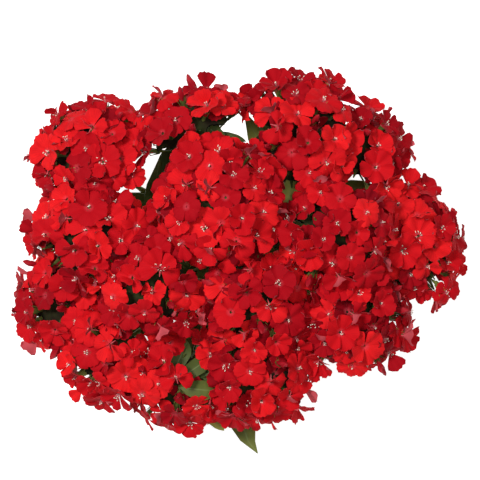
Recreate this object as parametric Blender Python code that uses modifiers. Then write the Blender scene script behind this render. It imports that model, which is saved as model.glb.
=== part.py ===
"""A red dianthus in a round clay pot.

Fifteen stems stand in plain holes in the soil and lean outwards like a fan. Each stem carries
opposite narrow leaves and, at its top, a fluted green cup of calyces. A domed head of florets
rests on each cup. The heads press against each other, so their petals stop at the plane where
two neighbours meet.

Metres, +Z up. The origin is the centre of the pot's underside. Seen from above, +X is to the
right and +Y is up.
"""

import math
import random

import bmesh
import bpy
from mathutils import Matrix, Vector
from mathutils.kdtree import KDTree

MM = 0.001
SEED = 27
GAP = 0.3 * MM  # clear space between pieces that touch

# Pot
POT_HEIGHT = 128 * MM
POT_BASE_RADIUS = 52 * MM
POT_NECK_RADIUS = 67 * MM  # the wall, just under the rim
POT_RIM_RADIUS = 74 * MM
POT_RIM_HEIGHT = 26 * MM
POT_RIM_TAPER = 1.5 * MM  # the rim's lower edge is this much narrower
POT_WALL = 6 * MM
POT_FLOOR = 8 * MM
POT_EDGE = 2 * MM
POT_STEPS = 32
DRAIN_HOLES = 4
DRAIN_RADIUS = 5 * MM
DRAIN_RING = 30 * MM
DRAIN_SIDES = 8

# Soil
SOIL_TOP = 112 * MM
HOLE_DEPTH = 20 * MM
HOLE_RADIUS = 3.4 * MM
HOLE_SIDES = 6
HOLE_SHARE = 0.28  # a stem stands at this share of its head's distance from the middle

# Stems
STEM_RADIUS = 2.6 * MM
STEM_COLLAR = 6 * MM  # straight length above the soil
STEM_STEPS = 4
STEM_PULL = 0.42  # how far the curve keeps its direction at each end, as a share of its length
STEM_IN_CUP = 0.4  # the rod ends inside the cup, at this share of its height
ROUTE_STEPS = 40  # of the same curve, where leaves are placed along it

# Flower heads: place of the middle seen from above, half width and lift, in millimetres
HEADS = [
    (-119, 79, 48, 0),
    (-36, 92, 45, -6),
    (48, 95, 51, 0),
    (98, 82, 38, -4),
    (-15, 40, 50, 8),
    (78, 16, 44, 8),
    (138, 7, 46, -8),
    (-119, 18, 48, 4),
    (-138, -38, 44, -6),
    (-105, -79, 40, 0),
    (-69, -24, 41, 6),
    (14, -34, 44, -6),
    (-51, -101, 38, -4),
    (16, -91, 41, 0),
    (91, -51, 43, 0),
]
MIDDLE_HEIGHT = 264 * MM  # of the dome's widest ring, on a head over the middle of the pot
EDGE_DROP = 55 * MM  # how much lower a head stands at EDGE_REACH from the middle
EDGE_REACH = 150 * MM
EDGE_TILT = math.radians(27)

# One head
DOME_FLATNESS = 0.72
DOME_INSET = 3 * MM  # petals reach this far past the ring of throats
DOME_BASE = -0.22  # underside of the core, as a share of the dome's height
CORE_DEPTH = 7 * MM
CORE_SIDES = 10
CORE_RINGS = 6
FLORET_CELL = 635 * MM * MM  # surface of the dome for each floret
LAST_FLORET = math.radians(100)  # from the top of the dome
GOLDEN_TURN = math.pi * (3 - math.sqrt(5))
HEAD_CLEARANCE = 0.5 * MM
SQUEEZED_OUT = 3 * MM  # a floret whose throat is nearer than this to another head is left out

# One floret: a petal's leading corner, trailing corner and the slit after it
PETALS = 5
PETAL_LENGTH = 15.2 * MM
PETAL_HALF_ANGLE = math.radians(29)
LEADING_LIFT = 0.10
TRAILING_LIFT = -0.05
SLIT_SHARE = 0.42
SLIT_LIFT = 0.03
FACE_UP = 0.2  # how much a floret turns to the light
FACE_WANDER = 0.05
STALK_RADIUS = 2.0 * MM
STALK_SIDES = 3
STALK_NECK = 1.6 * MM
STALK_SUNK = 5 * MM
LEVEL_STEP = 2.5 * MM  # neighbouring florets stand this much above or below each other
LEVELS = 4
LEVEL_ON_DOME = 1  # the level whose throats lie on the dome itself

# Cup of calyces
CUP_HEIGHT = 21 * MM
CUP_SHARE = 0.62  # of the dome's half width
CUP_LOBES = 8
CUP_FLUTE = 0.76
CUP_FOOT = 3.4 * MM

# Leaves
LEAF_THICKNESS = 1.2 * MM
LEAF_FOLD = 0.16
LEAF_ARCH = 0.16
LEAF_CREST = 0.45  # the arch is highest near this share of the length
LEAF_HALF_WIDTH = 8.5 * MM
LEAF_LENGTH = 74 * MM
# Place along the rib and share of the width there
LEAF_STATIONS = [(0.0, 0.2), (0.32, 0.92), (0.66, 0.86)]
BROAD_STATIONS = [(0.0, 0.18), (0.3, 0.8), (0.66, 1.0), (0.88, 0.66)]
LEAF_CLEARANCE = 5.5 * MM  # between the sampled points of two leaves
POT_CLEARANCE = 5 * MM  # between leaves and the pot or the soil
HEAD_MARGIN = 11 * MM  # petals reach this far past the dome on which their throats lie
HEAD_SKIRT = 22 * MM  # and the lowest ones hang this far below its widest ring
LEAF_SAMPLES = 16
LEAF_ROWS = 5
LEAF_ROOT_ZONE = 18 * MM  # within it a leaf may lie close to its own stem and its neighbours there
LEAF_SUNK = 1.6 * MM  # the root's depth under the stem's surface
LEAF_PAIRS = [(0.16, 0.0), (0.38, 90.0), (0.62, 0.0)]  # place along the stem, turn in degrees
FIRST_PAIR_TURN = 35  # of the lowest pair, from the way the stem leans
# A leaf tries these lengths, rises and turns in order until it is clear of everything
LEAF_TURNS = [0, 18, -18, 36, -36, 54, -54, 72, -72]
LEAF_LIFTS = [38, 22, 54, 68, 8]
LEAF_SHARES = [1.0, 0.8, 0.6]

# Leaves that reach up or out between the heads: head, place along its stem, tip and half width
REACHING_LEAVES = [
    (1, 0.60, (-45, 96, 204), 10.0),
    (2, 0.56, (-20, 110, 190), 9.0),
    (3, 0.60, (36, 50, 214), 6.5),
    (13, 0.50, (-22, -124, 198), 9.0),
    (11, 0.66, (-32, -100, 210), 7.5),
    (11, 0.62, (-46, -54, 206), 7.5),
    (14, 0.40, (5, -166, 168), 14.0),
    (7, 0.60, (160, -26, 160), 8.0),
    (8, 0.60, (-152, -4, 168), 7.5),
    (10, 0.58, (-137, -103, 170), 7.0),
    (4, 0.58, (112, 58, 172), 7.5),
]

UP = Vector((0, 0, 1))


def material(name, colour, roughness):
    made = bpy.data.materials.new(name)
    made.use_nodes = True
    shader = made.node_tree.nodes["Principled BSDF"]
    shader.inputs["Base Color"].default_value = (*colour, 1)
    shader.inputs["Roughness"].default_value = roughness
    shader.inputs["Metallic"].default_value = 0
    made.diffuse_color = (*colour, 1)
    return made


def new_collection(name):
    made = bpy.data.collections.new(name)
    bpy.context.scene.collection.children.link(made)
    return made


def add_object(name, mesh, collection):
    made = bpy.data.objects.new(name, mesh)
    collection.objects.link(made)
    return made


def mesh_of(bm, name):
    bmesh.ops.recalc_face_normals(bm, faces=bm.faces)
    mesh = bpy.data.meshes.new(name)
    bm.to_mesh(mesh)
    bm.free()
    return mesh


def loft(name, rings, end):
    """A closed body through rings of points. The first ring is capped, and the last closes on end.

    Rings may hold unlike numbers of points: the side then steps along whichever ring is behind.
    """
    bm = bmesh.new()
    loops = [[bm.verts.new(point) for point in ring] for ring in rings]
    bm.faces.new(loops[0])
    for low, high in zip(loops, loops[1:]):
        step_low, step_high = 0, 0
        while step_low < len(low) or step_high < len(high):
            a = low[step_low % len(low)]
            b = high[step_high % len(high)]
            behind = (step_low + 0.5) / len(low) < (step_high + 0.5) / len(high)
            if step_high == len(high) or (behind and step_low < len(low)):
                step_low += 1
                bm.faces.new((a, low[step_low % len(low)], b))
            else:
                step_high += 1
                bm.faces.new((a, high[step_high % len(high)], b))
    tip = bm.verts.new(end)
    last = loops[-1]
    for i, vertex in enumerate(last):
        bm.faces.new((vertex, last[(i + 1) % len(last)], tip))
    return mesh_of(bm, name)


def tube(name, points, radius):
    """A six-sided rod along points, as a closed mesh"""
    curve = bpy.data.curves.new(name, "CURVE")
    curve.dimensions = "3D"
    curve.bevel_depth = radius
    curve.bevel_resolution = 1
    curve.use_fill_caps = True
    spline = curve.splines.new("POLY")
    spline.points.add(len(points) - 1)
    for place, point in zip(spline.points, points):
        place.co = (*point, 1)
    rod = add_object(name, curve, bpy.context.scene.collection)
    bpy.context.view_layer.update()
    evaluated = rod.evaluated_get(bpy.context.evaluated_depsgraph_get())
    mesh = bpy.data.meshes.new_from_object(evaluated)
    bpy.data.objects.remove(rod)
    bm = bmesh.new()
    bm.from_mesh(mesh)
    bmesh.ops.remove_doubles(bm, verts=bm.verts, dist=0.01 * MM)
    bpy.data.meshes.remove(mesh)
    return mesh_of(bm, name)


def keep_biggest_body(mesh):
    """Drops all but the largest closed surface of a mesh, so loose scraps and sealed hollows go"""
    bm = bmesh.new()
    bm.from_mesh(mesh)
    left = set(bm.verts)
    bodies = []
    while left:
        front = [left.pop()]
        body = set(front)
        while front:
            vertex = front.pop()
            for edge in vertex.link_edges:
                other = edge.other_vert(vertex)
                if other in left:
                    left.remove(other)
                    body.add(other)
                    front.append(other)
        bodies.append(body)
    bodies.sort(key=len)
    for body in bodies[:-1]:
        bmesh.ops.delete(bm, geom=list(body), context="VERTS")
    bm.to_mesh(mesh)
    bm.free()


def fused(name, meshes, collection, look):
    """One body from several closed meshes, by a Boolean union on a collection"""
    body = add_object(name, meshes[0], collection)
    joined = new_collection(name + "_joined")
    for mesh in meshes[1:]:
        add_object(mesh.name, mesh, joined)
    union = body.modifiers.new("union", "BOOLEAN")
    union.operation = "UNION"
    union.operand_type = "COLLECTION"
    union.collection = joined
    union.solver = "MANIFOLD"  # the exact solver leaves open edges where petals graze each other
    bpy.context.view_layer.update()
    evaluated = body.evaluated_get(bpy.context.evaluated_depsgraph_get())
    whole = bpy.data.meshes.new_from_object(evaluated)
    for piece in list(joined.objects):
        bpy.data.objects.remove(piece)
    bpy.data.collections.remove(joined)
    body.modifiers.clear()
    body.data = whole
    whole.name = name
    keep_biggest_body(whole)
    whole.materials.clear()
    whole.materials.append(look)
    return body


def frame_along(axis):
    """A turn that takes +Z to axis"""
    return UP.rotation_difference(axis).to_matrix()


class Head:
    """Where one head stands. Its dome is an oblate half ellipsoid on a tilted axis."""

    def __init__(self, x, y, half_width, lift):
        reach = Vector((x, y, 0)) * MM
        far = reach.length / EDGE_REACH
        height = MIDDLE_HEIGHT - EDGE_DROP * far * far + lift * MM
        self.middle = Vector((reach.x, reach.y, height))
        tilt = EDGE_TILT * far
        self.axis = reach.normalized() * math.sin(tilt) + UP * math.cos(tilt)
        self.turn = frame_along(self.axis)
        self.half_width = half_width * MM
        self.wide = self.half_width - DOME_INSET
        self.high = self.wide * DOME_FLATNESS
        self.base = DOME_BASE * self.high
        self.planes = []

    def place(self, point):
        return self.middle + self.turn @ point

    def keep_off(self, other):
        """Adds the plane between this head and other, which neither crosses"""
        apart = other.middle - self.middle
        share = self.half_width / (self.half_width + other.half_width)
        self.planes.append((self.middle + apart * share, apart.normalized()))

    def room(self, point):
        """How far a point is from the nearest plane, on this head's side"""
        return min((at - point).dot(normal) - HEAD_CLEARANCE for at, normal in self.planes)

    def kept_clear(self, point, root):
        """The point, drawn back towards root where it would cross a plane"""
        for at, normal in self.planes:
            deep = (root - at).dot(normal) + HEAD_CLEARANCE
            out = (point - at).dot(normal) + HEAD_CLEARANCE
            if out > 0:
                point = root + (point - root) * (deep / (deep - out))
        return point

    def blocks(self, point):
        """Whether a leaf at this point would touch the head's florets or its cup"""
        local = self.turn.transposed() @ (point - self.middle)
        out = math.hypot(local.x, local.y)
        wide = self.wide + HEAD_MARGIN
        if local.z > 0:
            return (out / wide) ** 2 + (local.z / (self.high + HEAD_MARGIN)) ** 2 < 1
        if local.z > -HEAD_SKIRT:
            return out < wide
        return local.z > self.base - CUP_HEIGHT and out < self.wide * CUP_SHARE


def dome_places(head):
    """Even places on the dome, as unit directions, on a spiral of golden turns"""
    cap = 1 - math.cos(LAST_FLORET)
    area = 2 * math.pi * head.wide * head.wide * cap * (1 + DOME_FLATNESS) / 2
    count = round(area / FLORET_CELL)
    places = []
    for i in range(count):
        z = 1 - cap * (i + 0.5) / count
        ring = math.sqrt(1 - z * z)
        turn = i * GOLDEN_TURN
        places.append(Vector((ring * math.cos(turn), ring * math.sin(turn), z)))
    return places


def levels_of(places):
    """A level for each place, unlike those of the places nearest to it"""
    levels = []
    for place in places:
        cost = [0.0] * LEVELS
        for other, level in zip(places, levels):
            cost[level] += 1 / (place - other).length_squared ** 2
        levels.append(cost.index(min(cost)))
    return levels


class Floret:
    """Where one floret stands, in world space"""

    def __init__(self, head, direction, level, draw):
        flat = Vector((head.wide * direction.x, head.wide * direction.y, head.high * direction.z))
        normal = Vector(
            (direction.x / head.wide, direction.y / head.wide, direction.z / head.high)
        ).normalized()
        wander = Vector((draw.uniform(-1, 1), draw.uniform(-1, 1), draw.uniform(-1, 1)))
        facing = (normal + UP * FACE_UP + wander * FACE_WANDER).normalized()
        turned = Matrix.Rotation(draw.uniform(0, math.tau), 3, "Z")
        self.turn = head.turn @ frame_along(facing) @ turned
        self.root = head.place(flat + normal * (level - LEVEL_ON_DOME) * LEVEL_STEP)
        self.sunk = head.place(flat - normal * (CORE_DEPTH + STALK_SUNK))
        self.length = PETAL_LENGTH * draw.uniform(0.92, 1.06)

    def place(self, angle, reach, lift):
        local = Vector((reach * math.cos(angle), reach * math.sin(angle), lift))
        return self.root + self.turn @ local


def floret_mesh(name, head, floret):
    """Five wedge petals round a throat, on a three-sided stalk that is sunk in the core"""
    length = floret.length
    outline = []
    for petal in range(PETALS):
        middle = math.tau * petal / PETALS
        for angle, reach, lift in (
            (middle - PETAL_HALF_ANGLE, 1, LEADING_LIFT),
            (middle + PETAL_HALF_ANGLE, 1, TRAILING_LIFT),
            (middle + math.pi / PETALS, SLIT_SHARE, SLIT_LIFT),
        ):
            corner = floret.place(angle, reach * length, lift * length)
            outline.append(head.kept_clear(corner, floret.root))
    neck = [
        floret.place(math.tau * i / STALK_SIDES, STALK_RADIUS, -STALK_NECK)
        for i in range(STALK_SIDES)
    ]
    foot = [point + (floret.sunk - floret.root) for point in neck]
    return loft(name, [foot, neck, outline], floret.root)


def core_mesh(name, head):
    """The smaller dome inside the head, flat underneath"""
    bm = bmesh.new()
    bmesh.ops.create_uvsphere(bm, u_segments=CORE_SIDES, v_segments=CORE_RINGS, radius=1)
    wide = head.wide - CORE_DEPTH
    high = head.high - CORE_DEPTH
    bmesh.ops.scale(bm, vec=(wide, wide, high), verts=bm.verts)
    cut = bmesh.ops.bisect_plane(
        bm,
        geom=bm.verts[:] + bm.edges[:] + bm.faces[:],
        plane_co=(0, 0, head.base),
        plane_no=(0, 0, -1),
        clear_outer=True,
    )
    rim = [part for part in cut["geom_cut"] if isinstance(part, bmesh.types.BMEdge)]
    bmesh.ops.contextual_create(bm, geom=rim)
    for vertex in bm.verts:
        vertex.co = head.kept_clear(head.place(vertex.co), head.middle)
    return mesh_of(bm, name)


def add_head(name, head, draw, collection, look):
    meshes = [core_mesh(name + "_core", head)]
    places = dome_places(head)
    for i, (direction, level) in enumerate(zip(places, levels_of(places))):
        floret = Floret(head, direction, level, draw)
        if head.room(floret.root) > SQUEEZED_OUT:
            meshes.append(floret_mesh(f"{name}_floret_{i}", head, floret))
    fused(name, meshes, collection, look)
    return len(meshes) - 1


def stand_of(head):
    """Where the head's stem stands, seen from above"""
    return Vector((head.middle.x, head.middle.y, 0)) * HOLE_SHARE


def stem_route(head, steps):
    """Points up a stem: straight out of the soil, then on a smooth curve into the head's cup"""
    stand = stand_of(head)
    start = stand + UP * (SOIL_TOP + STEM_COLLAR)
    end = head.place(UP * (head.base - CUP_HEIGHT))
    pull = (end - start).length * STEM_PULL
    out = start + UP * pull
    back = end - head.axis * pull
    points = [stand + UP * (SOIL_TOP - HOLE_DEPTH + GAP)]
    for i in range(steps + 1):
        t = i / steps
        s = 1 - t
        points.append(s**3 * start + 3 * s * s * t * out + 3 * s * t * t * back + t**3 * end)
    return points


def stem_mesh(name, head):
    route = stem_route(head, STEM_STEPS)
    inside = route[-1] + head.axis * CUP_HEIGHT * STEM_IN_CUP
    return tube(name, route + [inside], STEM_RADIUS)


def cup_mesh(name, head):
    """A fluted cone of calyces, wide under the head and narrow at the stem"""
    bm = bmesh.new()
    made = bmesh.ops.create_cone(
        bm,
        cap_ends=True,
        segments=2 * CUP_LOBES,
        radius1=CUP_FOOT,
        radius2=head.wide * CUP_SHARE,
        depth=CUP_HEIGHT,
    )
    rim = [vertex for vertex in made["verts"] if vertex.co.z > 0]
    rim.sort(key=lambda vertex: math.atan2(vertex.co.y, vertex.co.x))
    for vertex in rim[::2]:
        vertex.co.x *= CUP_FLUTE
        vertex.co.y *= CUP_FLUTE
    middle = head.base - GAP - CUP_HEIGHT / 2
    for vertex in bm.verts:
        vertex.co = head.place(vertex.co + UP * middle)
    return mesh_of(bm, name)


class Leaf:
    """A narrow leaf on an arched rib from root to tip"""

    def __init__(self, axis_point, tip, half_width, stations=LEAF_STATIONS):
        way = Vector((tip.x - axis_point.x, tip.y - axis_point.y, 0)).normalized()
        root = axis_point + way * (STEM_RADIUS - LEAF_SUNK)
        self.root = root
        self.tip = tip
        self.half_width = half_width
        self.stations = stations
        self.crest = root.lerp(tip, LEAF_CREST) + UP * (tip - root).length * LEAF_ARCH

    def section(self, t):
        """The rib's point, the way across and the way up at a share t of its length"""
        s = 1 - t
        point = s * s * self.root + 2 * s * t * self.crest + t * t * self.tip
        along = (s * (self.crest - self.root) + t * (self.tip - self.crest)).normalized()
        across = along.cross(UP).normalized()
        return point, across, across.cross(along)

    def ring(self, t, share):
        """The lens-shaped section: left edge, underside, right edge, top"""
        point, across, above = self.section(t)
        side = across * self.half_width * share
        fold = above * self.half_width * share * LEAF_FOLD * 2
        thick = above * LEAF_THICKNESS / 2
        return [point - side + fold, point - thick, point + side + fold, point + thick]

    def mesh(self, name):
        return loft(name, [self.ring(t, share) for t, share in self.stations], self.tip)

    def share_at(self, t):
        """The blade's share of half_width at a share t of its length"""
        places = self.stations + [(1.0, 0.0)]
        for (start, low), (end, high) in zip(places, places[1:]):
            if t <= end:
                return low + (high - low) * (t - start) / (end - start)

    def samples(self):
        """Points spread over the blade in rows of LEAF_ROWS, to test what it would touch"""
        spread = []
        for i in range(1, LEAF_SAMPLES + 1):
            t = i / LEAF_SAMPLES
            point, across, above = self.section(t)
            side = across * self.half_width * self.share_at(t)
            for j in range(LEAF_ROWS):
                spread.append(point + side * (2 * j / (LEAF_ROWS - 1) - 1))
        return spread


def near_pot(point):
    """Whether a leaf at this point would touch the pot's wall or the soil"""
    out = math.hypot(point.x, point.y)
    inside = out < inner_radius(POT_HEIGHT) - POT_CLEARANCE
    above = point.z > (SOIL_TOP if inside else POT_HEIGHT) + POT_CLEARANCE
    return not above and out < POT_RIM_RADIUS + POT_CLEARANCE


class Garden:
    """What stands where, so that new leaves are bent clear of it"""

    def __init__(self, heads):
        self.heads = heads
        self.points = []
        self.owners = []

    def add(self, points, owner):
        self.points += points
        self.owners += [owner] * len(points)
        self.tree = KDTree(len(self.points))
        for i, point in enumerate(self.points):
            self.tree.insert(point, i)
        self.tree.balance()

    def free(self, leaf, owner):
        for point in leaf.samples()[LEAF_ROWS:]:
            if near_pot(point) or any(head.blocks(point) for head in self.heads):
                return False
            at_root = (point - leaf.root).length < LEAF_ROOT_ZONE
            for place, i, distance in self.tree.find_range(point, LEAF_CLEARANCE):
                if self.owners[i] != owner or not at_root:
                    return False
        return True


def fitted_leaf(garden, owner, root, azimuth, length, half_width):
    """The first leaf near this azimuth that is clear of everything, or None"""
    for share in LEAF_SHARES:
        for lift in LEAF_LIFTS:
            for turn in LEAF_TURNS:
                angle = azimuth + math.radians(turn)
                rise = math.radians(lift)
                way = Vector((math.cos(angle), math.sin(angle), 0)) * math.cos(rise)
                tip = root + (way + UP * math.sin(rise)) * length * share
                leaf = Leaf(root, tip, half_width * math.sqrt(share))
                if garden.free(leaf, owner):
                    return leaf
    return None


def all_leaves(heads):
    """The leaves of every stem: those that reach out between the heads first, then the pairs"""
    draw = random.Random(SEED)
    garden = Garden(heads)
    leaves = {number: [] for number in range(1, len(heads) + 1)}
    routes = {}
    for number, head in enumerate(heads, 1):
        routes[number] = stem_route(head, ROUTE_STEPS)
        garden.add(routes[number], number)
    for number, share, tip, half_width in REACHING_LEAVES:
        root = routes[number][1 + round(ROUTE_STEPS * share)]
        leaf = Leaf(root, Vector(tip) * MM, half_width * MM, BROAD_STATIONS)
        leaves[number].append(leaf)
        garden.add(leaf.samples(), number)
    for share, turn in LEAF_PAIRS:
        for number, head in enumerate(heads, 1):
            root = routes[number][1 + round(ROUTE_STEPS * share)]
            first = math.atan2(head.middle.y, head.middle.x) + math.radians(turn + FIRST_PAIR_TURN)
            for azimuth in (first, first + math.pi):
                length = LEAF_LENGTH * draw.uniform(0.85, 1.1)
                leaf = fitted_leaf(garden, number, root, azimuth, length, LEAF_HALF_WIDTH)
                if leaf:
                    leaves[number].append(leaf)
                    garden.add(leaf.samples(), number)
    return leaves


def add_stem(name, head, leaves, collection, look):
    meshes = [stem_mesh(name + "_rod", head), cup_mesh(name + "_cup", head)]
    for i, leaf in enumerate(leaves):
        meshes.append(leaf.mesh(f"{name}_leaf_{i}"))
    fused(name, meshes, collection, look)


def turned(name, profile, collection, look):
    """A body turned round the Z axis from its half section"""
    bm = bmesh.new()
    line = [bm.verts.new((x, 0, z)) for x, z in profile]
    for a, b in zip(line, line[1:]):
        bm.edges.new((a, b))
    mesh = bpy.data.meshes.new(name)
    bm.to_mesh(mesh)
    bm.free()
    mesh.materials.append(look)
    body = add_object(name, mesh, collection)
    screw = body.modifiers.new("turn", "SCREW")
    screw.axis = "Z"
    screw.steps = POT_STEPS
    screw.render_steps = POT_STEPS
    screw.use_merge_vertices = True
    screw.merge_threshold = 0.01 * MM
    return body


def inner_radius(z):
    """The pot's inside at a height above its underside"""
    slope = (POT_NECK_RADIUS - POT_BASE_RADIUS) / (POT_HEIGHT - POT_RIM_HEIGHT)
    return POT_BASE_RADIUS + slope * z - POT_WALL


def hole(name, low, height, radius, sides, collection):
    """A cutter for an upright round hole, from the point low"""
    bm = bmesh.new()
    bmesh.ops.create_cone(
        bm,
        cap_ends=True,
        segments=sides,
        radius1=radius,
        radius2=radius,
        depth=height,
        matrix=Matrix.Translation(low + UP * height / 2),
    )
    cutter = add_object(name, mesh_of(bm, name), collection)
    cutter.hide_render = True
    cutter.display_type = "WIRE"
    return cutter


def cut_holes(body, cutters):
    for cutter in cutters:
        cut = body.modifiers.new(cutter.name, "BOOLEAN")
        cut.operation = "DIFFERENCE"
        cut.object = cutter


def add_pot(collection, cutters, look):
    shoulder = POT_HEIGHT - POT_RIM_HEIGHT
    profile = [
        (0, POT_FLOOR),
        (inner_radius(POT_FLOOR), POT_FLOOR),
        (inner_radius(POT_HEIGHT), POT_HEIGHT - POT_EDGE),
        (inner_radius(POT_HEIGHT) + POT_EDGE, POT_HEIGHT),
        (POT_RIM_RADIUS - POT_EDGE, POT_HEIGHT),
        (POT_RIM_RADIUS, POT_HEIGHT - POT_EDGE),
        (POT_RIM_RADIUS - POT_RIM_TAPER, shoulder + POT_EDGE),
        (POT_RIM_RADIUS - POT_RIM_TAPER - POT_EDGE, shoulder),
        (POT_NECK_RADIUS, shoulder),
        (POT_BASE_RADIUS, POT_EDGE),
        (POT_BASE_RADIUS - POT_EDGE, 0),
        (0, 0),
    ]
    pot = turned("pot", profile, collection, look)
    drains = []
    for i in range(DRAIN_HOLES):
        angle = math.tau * (i + 0.5) / DRAIN_HOLES
        low = Vector((DRAIN_RING * math.cos(angle), DRAIN_RING * math.sin(angle), -POT_FLOOR))
        height = 3 * POT_FLOOR
        drains.append(hole(f"drain_{i + 1}", low, height, DRAIN_RADIUS, DRAIN_SIDES, cutters))
    cut_holes(pot, drains)


def add_soil(heads, collection, cutters, look):
    bottom = POT_FLOOR + GAP
    profile = [
        (0, SOIL_TOP),
        (inner_radius(SOIL_TOP) - GAP, SOIL_TOP),
        (inner_radius(bottom) - 2 * GAP, bottom),
        (0, bottom),
    ]
    soil = turned("soil", profile, collection, look)
    holes = []
    for number, head in enumerate(heads, 1):
        low = stand_of(head) + UP * (SOIL_TOP - HOLE_DEPTH)
        name = f"stem_hole_{number:02d}"
        holes.append(hole(name, low, 2 * HOLE_DEPTH, HOLE_RADIUS, HOLE_SIDES, cutters))
    cut_holes(soil, holes)


def main():
    for thing in list(bpy.data.objects):
        bpy.data.objects.remove(thing)
    parts = new_collection("dianthus_plant")
    cutters = new_collection("cutters")
    red = material("petal_red", (0.62, 0.015, 0.02), 0.6)
    green = material("leaf_green", (0.09, 0.16, 0.045), 0.5)
    clay = material("fired_clay", (0.45, 0.17, 0.09), 0.85)
    earth = material("potting_soil", (0.035, 0.022, 0.015), 0.95)

    heads = [Head(*row) for row in HEADS]
    for head in heads:
        for other in heads:
            if other is not head:
                head.keep_off(other)

    add_pot(parts, cutters, clay)
    add_soil(heads, parts, cutters, earth)
    draw = random.Random(SEED)
    florets = 0
    for number, head in enumerate(heads, 1):
        florets += add_head(f"head_{number:02d}", head, draw, parts, red)
    leaves = all_leaves(heads)
    for number, head in enumerate(heads, 1):
        add_stem(f"stem_{number:02d}", head, leaves[number], parts, green)
    print(florets, "florets and", sum(map(len, leaves.values())), "leaves")


main()
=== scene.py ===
# %% [markdown]
# # A red dianthus in a clay pot
#
# The part's source holds the plant with large, simple florets. Here every node gets the finish of
# the real plant: toothed velvet petals, cream anthers, green calyces, veined leaves, a fired clay
# pot and crumbly soil. A finer piece stands where its node stands, because both come from the same
# rule. A few single florets, some bracts and a curled leaf tip are added one by one.
#
# The first cell loads the imported model as a fixed frame. The finer petals reach up to about 9 mm
# past its box.

import math
import random

import bmesh
import bpy
from mathutils import Matrix, Vector
from mathutils.kdtree import KDTree
from mathutils.noise import noise as noise_at


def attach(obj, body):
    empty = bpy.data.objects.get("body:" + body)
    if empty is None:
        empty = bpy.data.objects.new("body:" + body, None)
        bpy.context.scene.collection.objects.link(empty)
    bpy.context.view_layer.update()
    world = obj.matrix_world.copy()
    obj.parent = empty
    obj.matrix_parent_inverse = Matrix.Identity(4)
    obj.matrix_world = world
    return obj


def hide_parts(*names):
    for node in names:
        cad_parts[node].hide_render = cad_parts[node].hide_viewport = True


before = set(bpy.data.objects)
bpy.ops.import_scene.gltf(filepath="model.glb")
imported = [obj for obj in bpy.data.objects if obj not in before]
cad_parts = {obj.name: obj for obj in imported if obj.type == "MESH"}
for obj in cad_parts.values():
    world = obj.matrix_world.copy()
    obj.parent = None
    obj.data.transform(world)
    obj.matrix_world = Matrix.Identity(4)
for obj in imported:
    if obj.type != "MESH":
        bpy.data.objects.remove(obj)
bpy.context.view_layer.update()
MM = 0.001
UP = Vector((0, 0, 1))

# %% [markdown]
# ## Working by hand, in code
#
# Modelling by hand is: select one thing, enter edit mode, select some points, move, turn or stretch
# them. These helpers do just that with the same operators. Points are named by their number, which
# a grid counts row by row, so that a row or a column of a petal is easy to name. A second set names
# and copies what was made, and hangs each finished piece on the frame.


# %% Helpers for selecting and shaping
def take(*pieces):
    """Selects these objects alone. The first one is the active one."""
    bpy.ops.object.select_all(action="DESELECT")
    for piece in pieces:
        piece.select_set(True)
    bpy.context.view_layer.objects.active = pieces[0]


def edit(piece):
    take(piece)
    bpy.ops.object.mode_set(mode="EDIT")


def leave_edit():
    bpy.ops.object.mode_set(mode="OBJECT")


def pick(piece, numbers):
    """In edit mode, selects these vertices alone"""
    bpy.ops.mesh.select_all(action="DESELECT")
    bm = bmesh.from_edit_mesh(piece.data)
    bm.verts.ensure_lookup_table()
    for number in numbers:
        bm.verts[number].select_set(True)
    bm.select_flush_mode()
    bmesh.update_edit_mesh(piece.data)


def pick_top(piece):
    """In edit mode, selects the highest face alone"""
    bpy.ops.mesh.select_mode(type="FACE")
    bpy.ops.mesh.select_all(action="DESELECT")
    bm = bmesh.from_edit_mesh(piece.data)
    top = max(bm.faces, key=lambda face: face.calc_center_median().z)
    top.select_set(True)
    bmesh.update_edit_mesh(piece.data)


def numbers_where(piece, test):
    """The numbers of the vertices whose place passes a test"""
    bm = bmesh.from_edit_mesh(piece.data)
    return [vertex.index for vertex in bm.verts if test(vertex.co)]


def shift(piece, numbers, offset):
    pick(piece, numbers)
    bpy.ops.transform.translate(value=offset)


def stretch(piece, numbers, scale, centre=(0, 0, 0)):
    pick(piece, numbers)
    bpy.ops.transform.resize(value=scale, center_override=centre)


# %% Helpers for extruding, modifiers and thickness
def extrude_to(radius, rise, before):
    """Extrudes the selected round face by rise, and stretches it from one radius to another"""
    bpy.ops.mesh.extrude_region_move(TRANSFORM_OT_translate={"value": (0, 0, rise)})
    share = radius / before
    bpy.ops.transform.resize(value=(share, share, 1), center_override=(0, 0, 0))


def apply_all(piece):
    """Applies the modifiers of a piece, in order"""
    take(piece)
    for modifier in list(piece.modifiers):
        bpy.ops.object.modifier_apply(modifier=modifier.name)


def thicken(piece, thickness):
    """Gives a sheet its thickness, half of it on each side"""
    wall = piece.modifiers.new("wall", "SOLIDIFY")
    wall.thickness = thickness
    wall.offset = 0
    apply_all(piece)


# %% Helpers for naming, copying and finishing
def named(name):
    """Names the newest primitive and its mesh, and returns it"""
    piece = bpy.context.object
    piece.name = name
    piece.data.name = name
    return piece


def joined(name, pieces):
    """Joins the pieces into one, with its place and turn in its mesh"""
    take(*pieces)
    if len(pieces) > 1:
        bpy.ops.object.join()
    piece = bpy.context.object
    piece.name = name
    piece.data.name = name
    bpy.ops.object.transform_apply(location=True, rotation=True, scale=True)
    return piece


def copy_of(model, matrix):
    """A copy with a mesh of its own, put in place"""
    copy = model.copy()
    copy.data = model.data.copy()
    bpy.context.scene.collection.objects.link(copy)
    copy.matrix_world = matrix
    return copy


def discard(pieces):
    for piece in pieces:
        bpy.data.objects.remove(piece)


def triangles(piece):
    return sum(len(face.vertices) - 2 for face in piece.data.polygons)


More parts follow.
